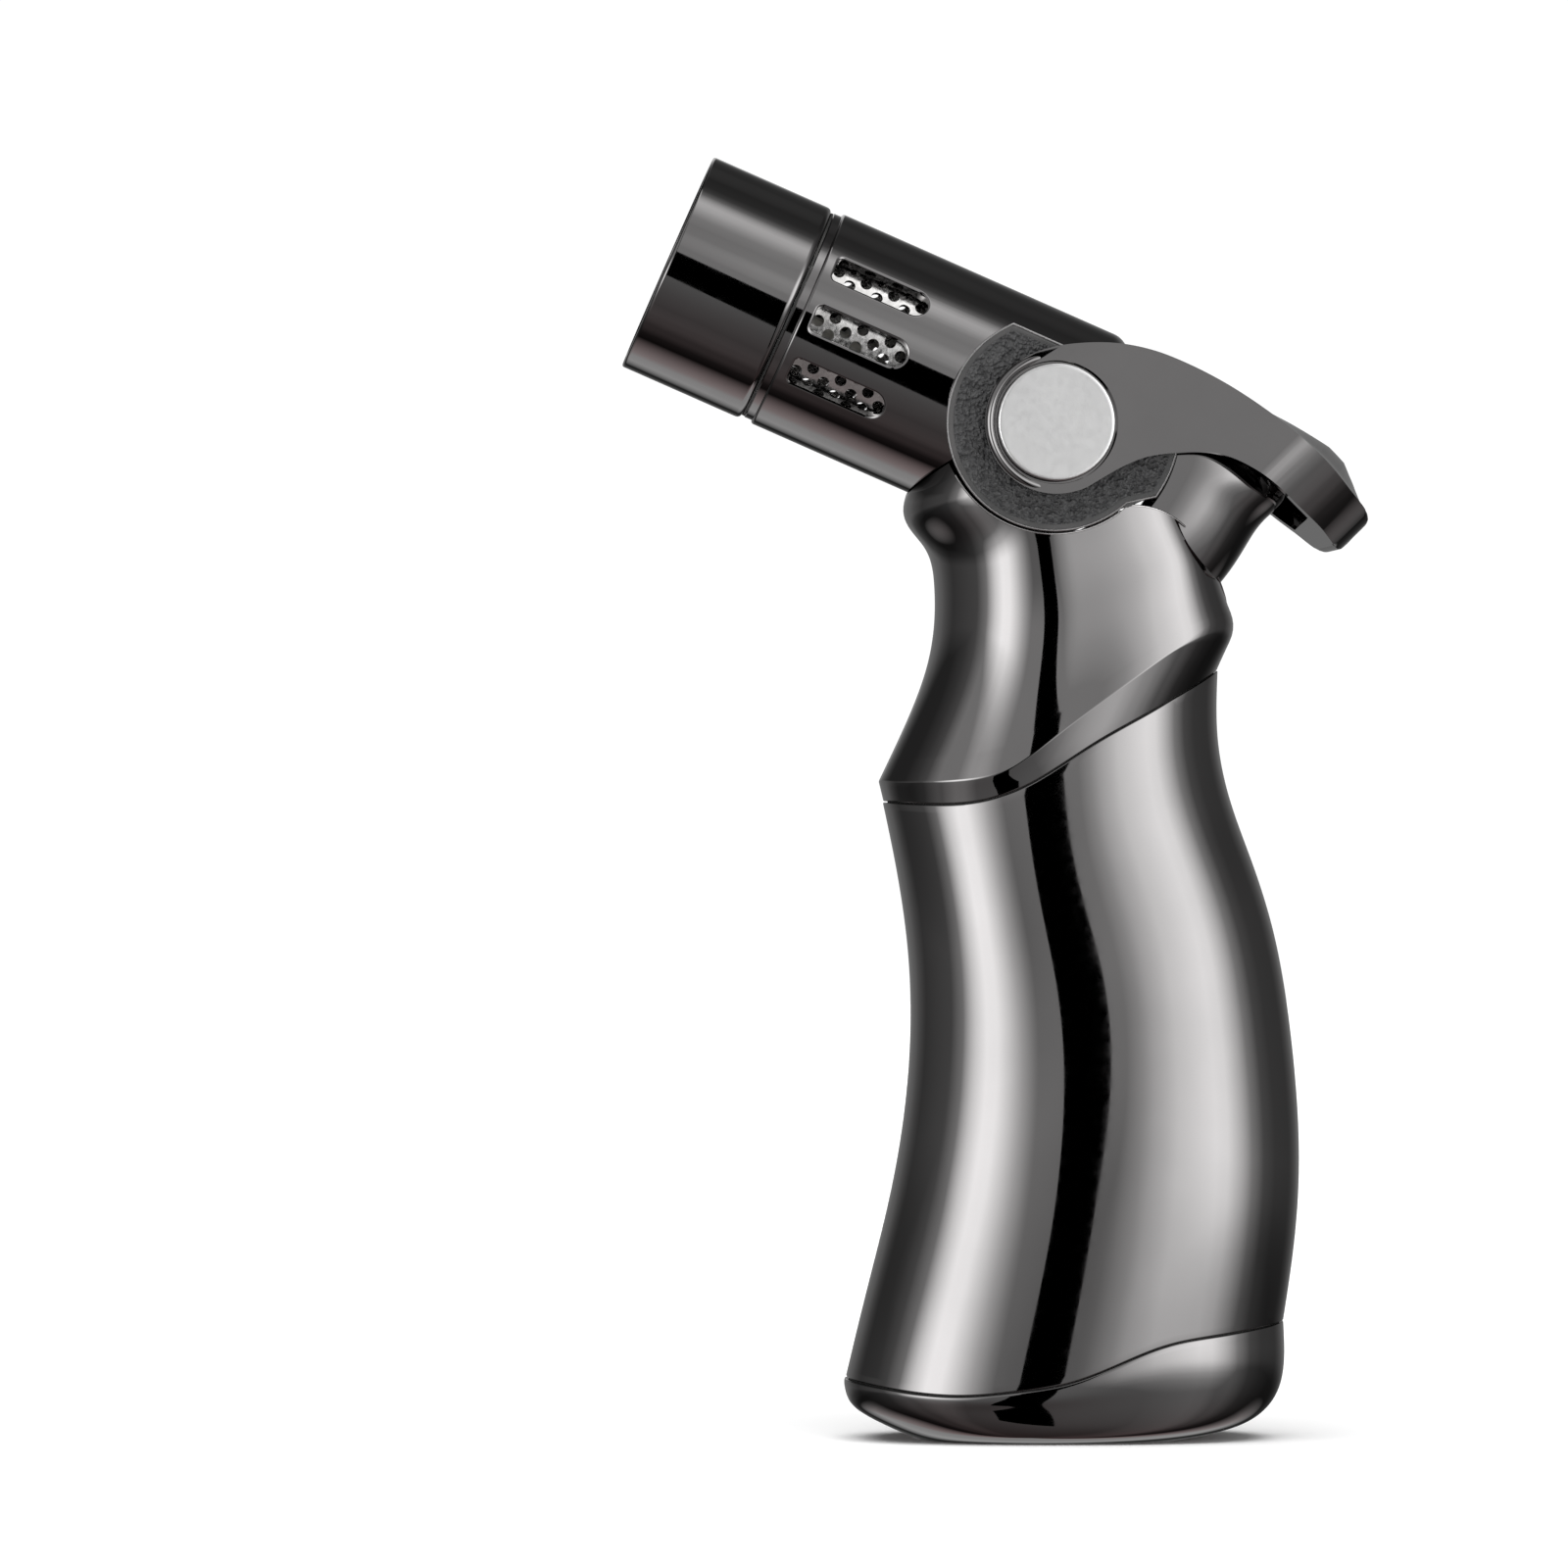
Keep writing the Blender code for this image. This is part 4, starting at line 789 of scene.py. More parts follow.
def burner():
    corners = [(0, 0.15, 0), (INSERT_RADIUS, 0.15, 0.3), (INSERT_RADIUS, INSERT_DEPTH, 0.2),
               (0, INSERT_DEPTH, 0)]
    insert = to_object("insert", moved(lathe(rounded_profile(corners), 128), barrel_frame()))
    half = CAVITY_WIDTH / 2
    rings = []
    for depth, growth in ((-2, 0.6), (0.15, 0.45), (0.35, 0.12), (0.7, 0.0), (CAVITY_DEPTH, -0.15)):
        outline = rounded_box_outline(half + growth, half + growth, CAVITY_CORNER + growth)
        rings.append([(x, y, depth) for x, y in outline])
    combine(insert, moved(loft(rings), barrel_frame()))
    for x, y in jet_places():
        hole = lathe(rod_outline(JET_RADIUS + GAP, CAVITY_DEPTH - 1, INSERT_DEPTH + 1), 48)
        combine(insert, moved(hole, barrel_frame() @ at(x, y, 0)))
    screw_hole = lathe([(0, CAVITY_DEPTH - 1), (1.9, CAVITY_DEPTH - 1), (1.9, CAVITY_DEPTH + 0.2),
                        (1.3, CAVITY_DEPTH + 0.4), (1.3, INSERT_DEPTH + 1), (0, INSERT_DEPTH + 1)], 32)
    combine(insert, moved(screw_hole, barrel_frame()))
    combine(insert, electrode_rod(1.05, CAVITY_DEPTH - 2, INSERT_DEPTH + 1))
    dress(insert, "burner_block", "matte", "casing", ["burner_insert"])
    for i, (x, y) in enumerate(jet_places()):
        jet(i + 1, barrel_frame() @ at(x, y, 0))
    head = CAVITY_DEPTH - GAP
    corners = [(0, head + 0.5, 0), (0.8, head, 0), (1.75, head, 0.25), (1.75, head + 0.9, 0.1),
               (1.0, head + 0.9, 0), (1.0, MANIFOLD_TOP + 2.4, 0.1), (0, MANIFOLD_TOP + 2.4, 0)]
    piece("centre_screw", moved(lathe(rounded_profile(corners), 48), barrel_frame()), "machined", "casing",
          ["burner_screw"])
    piece("spark_insulator", electrode_rod(0.8, 4.9, 14.2, 32), "ceramic", "casing",
          ["electrode_insulator"])
    tip = [in_barrel(5.2, 7.28, 1.0), in_barrel(4.6, 7.2, 1.0), in_barrel(4.2, 7.0, 1.2),
           in_barrel(4.0, 6.8, 1.45), in_barrel(3.9, 6.5, 1.7)]
    piece("spark_wire", tube(tip, 0.25), "steel", "casing", ["electrode_tip"])


def jet(number, place):
    flange = CAVITY_DEPTH - GAP
    corners = [(JET_BORE, JET_TOP, 0.1), (JET_RADIUS, JET_TOP, 0.12), (JET_RADIUS, JET_TOP + 1.0, 0),
               (JET_RADIUS - 0.15, JET_TOP + 1.15, 0), (JET_RADIUS, JET_TOP + 1.3, 0),
               (JET_RADIUS, flange - 0.7, 0), (JET_FLANGE_RADIUS, flange - 0.7, 0.12),
               (JET_FLANGE_RADIUS, flange, 0.12), (JET_RADIUS, flange, 0), (JET_RADIUS, INSERT_DEPTH, 0.1),
               (0.6, INSERT_DEPTH, 0), (0.6, INSERT_DEPTH - 1, 0), (JET_BORE, INSERT_DEPTH - 1, 0)]
    piece(f"jet_ring_{number}", moved(lathe(rounded_profile(corners), 64), place), "brass", "casing",
          [f"jet_tube_{number}"])
    outline = []
    for petal in range(DISC_PETALS):
        middle = 2 * math.pi * petal / DISC_PETALS
        step = 2 * math.pi / DISC_PETALS
        for share, radius in ((-0.5, DISC_ROOT_RADIUS), (-0.36, DISC_ROOT_RADIUS + 0.12),
                              (-0.3, DISC_RADIUS - 0.3), (-0.24, DISC_RADIUS - 0.04), (0.0, DISC_RADIUS),
                              (0.24, DISC_RADIUS - 0.04), (0.3, DISC_RADIUS - 0.3),
                              (0.36, DISC_ROOT_RADIUS + 0.12)):
            angle = middle + share * step
            outline.append((radius * math.cos(angle), radius * math.sin(angle)))
    disc = round_rims(upright(outline, JET_TOP + 0.2, JET_TOP + 1.0), 0.07, 2)
    disc = to_object("disc", moved(disc, place))
    hole = lathe([(0, JET_TOP - 1), (DISC_HOLE_RADIUS + 0.9, JET_TOP - 0.6),
                  (DISC_HOLE_RADIUS, JET_TOP + 0.35), (DISC_HOLE_RADIUS, JET_TOP + 2),
                  (0, JET_TOP + 2)], 32)
    combine(disc, moved(hole, place))
    dress(disc, f"flame_star_{number}", "steel", "casing", [f"flame_disc_{number}"])


# ---------------------------------------------------------------- body

def lip_rings(ring_at, direction, inner):
    """Rings that round a shell's outer edge and carry it to its inner wall."""
    rings = []
    for degrees in (0, 22, 45, 68, 90):
        angle = math.radians(degrees)
        inset = LIP * (1 - math.cos(angle))
        rings.append(ring_at(inset, direction * (SEAM_GAP / 2 + LIP * (1 - math.sin(angle)))))
    rings.append(ring_at(inner, direction * SEAM_GAP / 2))
    return rings


def seam_ring(name, line, half_width):
    """A dark band behind a seam, inside the two shells that meet there."""
    rise = rise_of(line)
    rings = [section_ring(line[0], line[-1], half_width, rise, inset, drop)
             for inset, drop in ((0.5, -0.5), (0.5, 0.5), (BODY_WALL - 0.2, 0.5), (BODY_WALL - 0.2, -0.5))]
    piece(name, loft(rings, hollow=True), "matte", "casing")


def handle():
    front_x = by_height(HANDLE_FRONT)
    rear_x = by_height(HANDLE_REAR)
    width_at = smooth(HANDLE_HALF_WIDTH)
    base_rise = rise_of(BASE_SEAM)
    neck_rise = rise_of(NECK_SEAM)

    def ring(share, inset=0.0, drop=0.0):
        front_z = BASE_SEAM[0][1] + share * (NECK_SEAM[0][1] - BASE_SEAM[0][1])
        rear_z = BASE_SEAM[-1][1] + share * (NECK_SEAM[-1][1] - BASE_SEAM[-1][1])
        rise = blend_rise(base_rise, neck_rise, share)
        front = (front_x(front_z), front_z)
        rear = (rear_x(rear_z), rear_z)
        return section_ring(front, rear, width_at(share), rise, inset, drop)

    low = lip_rings(lambda inset, drop: ring(0.0, inset, drop), 1, BODY_WALL)
    high = lip_rings(lambda inset, drop: ring(1.0, inset, drop), -1, BODY_WALL)
    sides = refine([low[0]] + [ring(i / 10) for i in range(1, 10)] + [high[0]], 90)
    inner = [ring(i / 12, BODY_WALL) for i in range(1, 12)]
    rings = low[::-1] + sides[1:-1] + high + inner[::-1]
    piece("handle_cover", loft(rings, hollow=True), "chrome", "casing", ["handle_shell"])
    seam_ring("base_seam_band", BASE_SEAM, HANDLE_HALF_WIDTH[0][1])
    seam_ring("neck_seam_band", NECK_SEAM, HANDLE_HALF_WIDTH[-1][1])


def base():
    rise = rise_of(BASE_SEAM)
    half = HANDLE_HALF_WIDTH[0][1]

    def seam(inset, drop):
        return section_ring(BASE_SEAM[0], BASE_SEAM[-1], half, rise, inset, drop)

    lip = lip_rings(seam, -1, BODY_WALL)
    levels = [
        lip[0],
        section_ring((-21.3, 5.9), (28.6, 9.0), half - 0.1, blend_rise(rise, no_rise, 0.35)),
        section_ring((-20.9, 4.5), (28.1, 6.0), half - 0.4, blend_rise(rise, no_rise, 0.7)),
        section_ring((-19.6, 3.1), (26.6, 3.5), half - 0.9, lambda s: -3.0 * s * (1 - s)),
        section_ring((-16.4, 1.4), (23.4, 1.5), half - 1.9, lambda s: -3.0 * s * (1 - s)),
        section_ring((-13.0, 0.0), (17.0, 0.0), half - 4.2, no_rise),
    ]
    outer = refine(levels, 40)
    inner = [section_ring((-20.6, 4.6), (26.6, 6.6), 13.4, no_rise, BODY_WALL),
             section_ring((-17.0, 2.6), (21.0, 2.6), 10.5, no_rise, BODY_WALL)]
    cap = to_object("base", loft(outer[::-1] + lip[1:] + inner))
    for x, radius in ((DIAL_X, DIAL_RADIUS + 0.4), (REFILL_X, REFILL_RADIUS + 0.6)):
        hole = lathe([(0, -1), (radius + 0.25, -1), (radius + 0.25, 0), (radius + 0.07, 0.07),
                      (radius, 0.25), (radius, 5), (0, 5)], 96)
        combine(cap, moved(hole, at(x, 0, 0)))
    dress(cap, "base_cover", "chrome", "casing", ["base_cap"])


def neck_squareness(share, steps):
    """How square the neck's section is, in front and at the rear, at a share of its height."""
    return tuple(np.interp(share, (0, 0.4, 1), column) for column in zip(*steps))


def neck_outer():
    front_x = by_height(NECK_FRONT)
    rear_x = by_height(NECK_REAR)
    crease_rise = rise_of(CREASE)
    width_at = smooth(list(zip(np.linspace(0, 1, len(NECK_HALF_WIDTH)), NECK_HALF_WIDTH)))
    levels = []
    count = 7
    for i in range(count + 1):
        share = i / count
        front_z = CREASE[0][1] + share * (NECK_FRONT[-1][1] - CREASE[0][1])
        rear_z = CREASE[-1][1] + share * (NECK_REAR[-1][1] - CREASE[-1][1])
        flatten = 1 - (1 - min(1.0, share / 0.85)) ** 1.6
        rise = blend_rise(crease_rise, no_rise, flatten)
        taper = np.interp(share, (0, 0.4, 1), NECK_TAPER)
        square = neck_squareness(share, NECK_SQUARENESS)
        front = (front_x(front_z), front_z)
        rear = (rear_x(rear_z), rear_z)
        levels.append(section_ring(front, rear, width_at(share), rise, 0.0, 0.0, taper, square))
    for front, rear, half_width in (((-14.3, 107.0), (14.2, 111.6), 14.0),
                                    ((-12.4, 110.9), (13.5, 112.5), 13.9)):
        levels.append(section_ring(front, rear, half_width, no_rise, 0.0, 0.0, NECK_TAPER[-1],
                                   NECK_SQUARENESS[-1]))
    upper = refine(levels, 84)
    rise = rise_of(NECK_SEAM)

    def seam(inset, drop):
        return section_ring(NECK_SEAM[0], NECK_SEAM[-1], HANDLE_HALF_WIDTH[-1][1], rise, inset, drop)

    lip = lip_rings(seam, 1, BODY_WALL)
    corner = soften(lip[0], levels[0], upper[6],
                    lambda p: 0.16 + 1.7 * min(1.0, max(0.0, (p.x - 15.0) / 7.0)) ** 1.5)
    band = np.array(lip[0])
    reach = np.array(corner[0])
    middle = [(band + (reach - band) * k / 4).tolist() for k in (1, 2, 3)]
    return lip[::-1] + middle + corner + upper[6:]


def neck_inner():
    front_x = by_height(NECK_FRONT)
    rear_x = by_height(NECK_REAR)
    rings = []
    for i in range(9):
        share = 0.86 * i / 8
        front_z = CREASE[0][1] + share * (NECK_FRONT[-1][1] - CREASE[0][1])
        rear_z = CREASE[-1][1] + share * (NECK_REAR[-1][1] - CREASE[-1][1])
        rise = blend_rise(rise_of(CREASE), no_rise, min(1.0, 1.4 * share))
        front = (front_x(front_z), front_z)
        rear = (rear_x(rear_z), rear_z)
        square = neck_squareness(share, NECK_INNER_SQUARENESS)
        rings.append(section_ring(front, rear, 13.1, rise, BODY_WALL, squareness=square))
    return rings


def neck():
    outer = neck_outer()
    skin = loft(outer)
    tree = BVHTree.FromBMesh(skin)
    skin.free()
    housing = to_object("neck", loft(neck_inner()[::-1] + outer))
    seat = lathe(rod_outline(BARREL_RADIUS + GAP, 8, BARREL_LENGTH + GAP), SIDES)
    combine(housing, moved(seat, barrel_frame()))
    combine(housing, moved(lathe(rod_outline(PLATE_RADIUS + GAP, -20, 20), SIDES), across_frame(PIVOT)))
    combine(housing, moved(box((9.5, 17), (-5.5, 5.5), (41, 46)), barrel_frame()))
    slope = flowing(SLOPE, 8) + [(40, -19.7), (40, 30), (-20, 30), (-20, -3.7), (7.2, -3.7)]
    combine(housing, moved(prism(slope, -20, 20), Matrix.Translation(PIVOT)))
    combine(housing, moved(skirt_form(0.45, -36, -72), Matrix.Translation(PIVOT)))
    dress(housing, "neck_cover", "chrome", "casing", ["neck_housing"])
    # Beads along the neck's cut edge: a real rounded lip, in a lighter metal that paints its thin
    # highlight.
    rim = [(PIVOT.x + x, PIVOT.z + z) for x, z in
           arc((0, 0), PLATE_RADIUS + GAP, 208, 306, 60) + flowing(SLOPE, 8)]
    for name, side in (("left", 1), ("right", -1)):
        points = []
        for x, z in rim:
            hit = tree.ray_cast(Vector((x, side * 30, z)), Vector((0, -side, 0)))[0]
            if hit:
                points.append(Vector((x, hit.y - side * 0.1, z)))
        piece(f"neck_rim_{name}", tube(points, 0.14), "painted_highlight_edge", "casing")


# ---------------------------------------------------------------- lever group

def plate_outline():
    tilt = math.degrees(BARREL_TILT)
    left = 180 - math.degrees(math.asin(PLATE_TOP / PLATE_RADIUS))
    right = math.degrees(math.asin(PLATE_TOP / PLATE_REAR_RADIUS))
    outline = arc((0, 0), PLATE_RADIUS, left - tilt, 360 - 48, 72)
    outline += arc((0, 0), PLATE_REAR_RADIUS, 360 - 36, 360 + right - tilt, 28)
    return outline


def plates():
    for name, side in (("left", 1), ("right", -1)):
        low, high = sorted((side * PLATE_INNER_Y, side * PLATE_OUTER_Y))
        bm = round_rims(prism(plate_outline(), low, high), 0.45, 4)
        plate = to_object("plate", moved(bm, Matrix.Translation(PIVOT)))
        combine(plate, moved(lathe(rod_outline(PIN_RADIUS + GAP, -18, 18), 48), across_frame(PIVOT)))
        dress(plate, f"plate_rim_{name}", "gloss_black", "casing", [f"side_plate_{name}"])
        low, high = sorted((side * (PLATE_OUTER_Y - 0.3), side * (PLATE_OUTER_Y + 0.07)))
        panel = round_rims(prism(offset_outline(plate_outline(), 0.75), low, high), 0.12, 2)
        panel = to_object("panel", moved(panel, Matrix.Translation(PIVOT)))
        combine(panel, moved(lathe(rod_outline(PIN_RADIUS + GAP, -18, 18), 48), across_frame(PIVOT)))
        dress(panel, f"plate_grain_{name}", "grain", "casing")
        # A rounded bead along each plate's rim, in a lighter metal that paints its thin highlight.
        rim = [(PIVOT.x + x, side * (PLATE_OUTER_Y - 0.1), PIVOT.z + z)
               for x, z in offset_outline(plate_outline(), 0.1)]
        piece(f"plate_bead_{name}", closed_tube(rim, 0.14), "painted_highlight_edge", "casing")


def bend_tail(bm, inset):
    """Bends a lever prism round its tail, square to the tail's slope, and crowns the thumb pad."""
    along = Vector((math.cos(TAIL_SLOPE), 0, -math.sin(TAIL_SLOPE)))
    outward = Vector((math.sin(TAIL_SLOPE), 0, math.cos(TAIL_SLOPE)))
    start = TAIL_REACH - TAIL_CORNER
    corner = TAIL_CORNER - inset
    full = ARM_OUTER_Y - inset
    turns = [start + corner * math.sin(math.radians(angle)) for angle in range(0, 88, 3)]
    slice_up(bm, along, [4.0, 6.0, 8.0, 10.0, 12.0, 14.0, 16.0, 18.0] + turns)
    slice_up(bm, Vector((0, 1, 0)), np.arange(-13.5, 13.6, 1.5))
    top = smooth(LEVER_TOP)
    crown = np.array(CROWN).T
    for vert in bm.verts:
        x, y, z = vert.co
        run = vert.co.dot(along)
        reach = min(corner, max(0.0, run - start))
        width = full - corner + math.sqrt(corner ** 2 - reach ** 2)
        near_top = min(1.0, max(0.0, 1 - 0.7 * (top(min(x, 36.0)) - z) / 3.5)) if x > 5.0 else 0.0
        lift = float(np.interp(run, *crown)) * near_top * max(0.0, 1 - (y / 16.0) ** 2) ** 1.6
        vert.co = vert.co + outward * lift
        vert.co.y = y * width / full
    return bm


def lever():
    place = Matrix.Translation(PIVOT)
    outline = flowing(LEVER_TOP + LEVER_LOW, 6) + arc((0, 0), EYE_RADIUS, -58, -215, 40)[1:-1]
    outer = round_rims(prism(outline, -ARM_OUTER_Y, ARM_OUTER_Y), 0.5, 4)
    arm = to_object("lever", moved(bend_tail(outer, 0.0), place))
    web = [(x - 0.3, z - WEB_THICKNESS) for x, z in flowing(LEVER_TOP, 4) if 14 < x < 30.2]
    under = [(-20, 20), (15.0, 20)] + web + [(29.6, -10.0), (29.4, -30), (-20, -30)]
    combine(arm, moved(bend_tail(prism(under, -ARM_INNER_Y, ARM_INNER_Y), WEB_THICKNESS), place))
    rib = [(15.2, 5.2), (14.9, -3.0), (12.2, -8.2), (12.8, -8.9), (13.5, -8.6), (16.5, -5.0), (19.0, 0.0),
           (20.0, 3.1)]
    brow = [(10.7, 8.1), (9.7, 5.9), (13.0, 5.1), (17.5, 2.8), (17.5, 5.1), (14.9, 6.5), (12.8, 7.3)]
    combine(arm, moved(prism(brow, -12.9, 12.9), place), 'UNION')
    combine(arm, moved(prism(rib, -1.5, 1.5), place), 'UNION')
    combine(arm, moved(lathe(rod_outline(PIN_RADIUS + GAP, -18, 18), 48), across_frame(PIVOT)))
    for side in (1, -1):
        low, high = sorted((side * 15.4, side * 20))
        combine(arm, moved(lathe(rod_outline(CAP_RADIUS + GAP, low, high), 128), across_frame(PIVOT)))
    dress(arm, "lever_arm", "chrome", "lever", ["thumb_lever"])
    for name, side in (("left", 1), ("right", -1)):
        piece(f"lever_eye_{name}", lever_eye(side), "chrome", "lever")


def lever_eye(side):
    """The raised rim round a pivot cap, which sinks into the arm towards the tail."""
    inner = CAP_RADIUS + GAP - 0.05
    outer = EYE_RADIUS + 0.02
    foot = ARM_OUTER_Y - 0.8
    rings = []
    for degrees in range(62, 299, 3):
        angle = math.radians(degrees)
        ease = min(1.0, (degrees - 62) / 75, (298 - degrees) / 75)
        height = 0.68 * ease * ease * (3 - 2 * ease)
        profile = [(inner, foot), (inner, ARM_OUTER_Y - 0.45 + 0.25 * height)]
        for step in range(10, 171, 10):
            across = (inner + outer) / 2 - (outer - inner) / 2 * math.cos(math.radians(step))
            profile.append((across, ARM_OUTER_Y - 0.4 + height * math.sin(math.radians(step))))
        profile += [(outer, ARM_OUTER_Y - 0.45 + 0.25 * height), (outer, foot)]
        rings.append([(radius * math.cos(angle), side * y, radius * math.sin(angle))
                      for radius, y in profile])
    return moved(loft(rings), Matrix.Translation(PIVOT))


def skirt_reach(angle):
    reach = smooth([(-74, 26.5), (-52, 26.5), (-43, 26.5), (-36, 26.4), (-30, 26.35), (-26, 26.5),
                    (-22, 27.1),
                    (-17, 28.2), (-12, 27.6), (-8, 25.6)])
    return reach(angle)


def skirt_form(growth, start, end, steps=24, points=48):
    """The skirt's rounded form, swept about the pivot between two angles in degrees."""
    rings = []
    for i in range(steps + 1):
        angle = start + (end - start) * i / steps
        outer = (skirt_reach(angle) if angle > -52 else SKIRT_OUTER_RADIUS) + growth
        inner = SKIRT_INNER_RADIUS - growth
        ring = []
        for k in range(points + 1):
            turn = math.pi * (k / points - 0.5)
            along = max(0.0, power(math.cos(turn), SKIRT_ROUNDNESS))
            radius = inner + (outer - inner) * along
            across = (SKIRT_HALF_WIDTH + growth) * power(math.sin(turn), SKIRT_ROUNDNESS)
            ring.append((radius * math.cos(math.radians(angle)), across,
                         radius * math.sin(math.radians(angle))))
        rings.append(ring)
    return loft(rings)


def skirt():
    place = Matrix.Translation(PIVOT)
    shell = to_object("skirt", moved(skirt_form(0, -8, -52, 44, 96), place))
    combine(shell, moved(skirt_form(-SKIRT_WALL, -2, -60), place))
    mouth = arc((0, 0), 17.5, -85, 8, 48) + [(0, 0)]
    inside = SKIRT_HALF_WIDTH - SKIRT_WALL
    combine(shell, moved(prism(mouth, -inside, inside), place))
    combine(shell, moved(box((5, 26), (-4.3, 4.3), (-30, -19.0)), place))
    dress(shell, "lever_shroud", "chrome", "lever", ["lever_skirt"])


def caps():
    for name, side in (("left", 1), ("right", -1)):
        profile = [(0, CAP_INNER_Y), (CAP_RADIUS, CAP_INNER_Y)]
        profile += arc((CAP_RADIUS - 0.3, CAP_OUTER_Y - 0.3), 0.3, 0, 80, 6)
        profile += [(CAP_RADIUS - 0.5, CAP_OUTER_Y - 0.02), (0, CAP_OUTER_Y)]
        bm = lathe([(radius, side * height) for radius, height in profile], 160)
        piece(f"pivot_disc_{name}", moved(bm, across_frame(PIVOT)), "satin", "casing",
              [f"pivot_cap_{name}"])


def dial():
    outline = []
    teeth = 40
    for i in range(teeth):
        for share, radius in ((0.0, DIAL_RADIUS), (0.3, DIAL_RADIUS), (0.5, DIAL_RADIUS - 0.25),
                              (0.8, DIAL_RADIUS - 0.25)):
            angle = 2 * math.pi * (i + share) / teeth
            outline.append((radius * math.cos(angle), radius * math.sin(angle)))
    wheel = to_object("dial", moved(round_rims(upright(outline, 0.6, 4.3), 0.08, 2), at(DIAL_X, 0, 0)))
    combine(wheel, moved(box((-3.6, 3.6), (-0.5, 0.5), (0, 1.4)), at(DIAL_X, 0, 0)))
    dress(wheel, "flame_wheel", "machined", "dial", ["flame_dial"])


def carried_over():
    """Gives the inner CAD nodes that stay as they are their finished materials."""
    wanted = {
        "machined": ("gas_manifold", "pivot_pin", "rocker_pin", "valve_rocker"),
        "tank": ("fuel_tank", "tank_lid"),
        "rubber": ("tank_seal", "ignition_wire"),
        "brass": ("gas_valve_body", "valve_stem", "regulator_body", "refill_valve_body", "refill_stem"),
        "pale": ("mechanism_frame", "piezo_plunger", "gas_tube", "feed_tube"),
        "matte": ("piezo_body",),
        "steel": ("piezo_spring", "refill_spring"),
    }
    for finish, names in wanted.items():
        for name in names:
            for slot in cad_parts[name].material_slots:
                slot.material = FINISHES[finish]


# ---------------------------------------------------------------- studio

def math_node(tree, operation, first, second=None):
    node = tree.nodes.new("ShaderNodeMath")
    node.operation = operation
    for socket, value in zip(node.inputs, (first, second)):
        if value is None:
            continue
        if isinstance(value, (int, float)):
            socket.default_value = value
        else:
            tree.links.new(value, socket)
    return node.outputs[0]


def tone_curve(tree, value, stops, peak=1):
    """A brightness along a value, straight between up to 32 (place, brightness) stops."""
    low, high = stops[0][0], stops[-1][0]
    share = tree.nodes.new("ShaderNodeMapRange")
    share.inputs["From Min"].default_value = low
    share.inputs["From Max"].default_value = high
    tree.links.new(value, share.inputs["Value"])
    ramp = tree.nodes.new("ShaderNodeValToRGB")
    ramp.color_ramp.interpolation = 'LINEAR'
    elements = ramp.color_ramp.elements
    elements.remove(elements[1])
    for i, (place, brightness) in enumerate(stops):
        position = (place - low) / (high - low)
        element = elements[0] if i == 0 else elements.new(position)
        element.position = position
        element.color = (brightness / peak,) * 3 + (1,)
    tree.links.new(share.outputs["Result"], ramp.inputs["Fac"])
    return math_node(tree, 'MULTIPLY', ramp.outputs["Color"], peak)


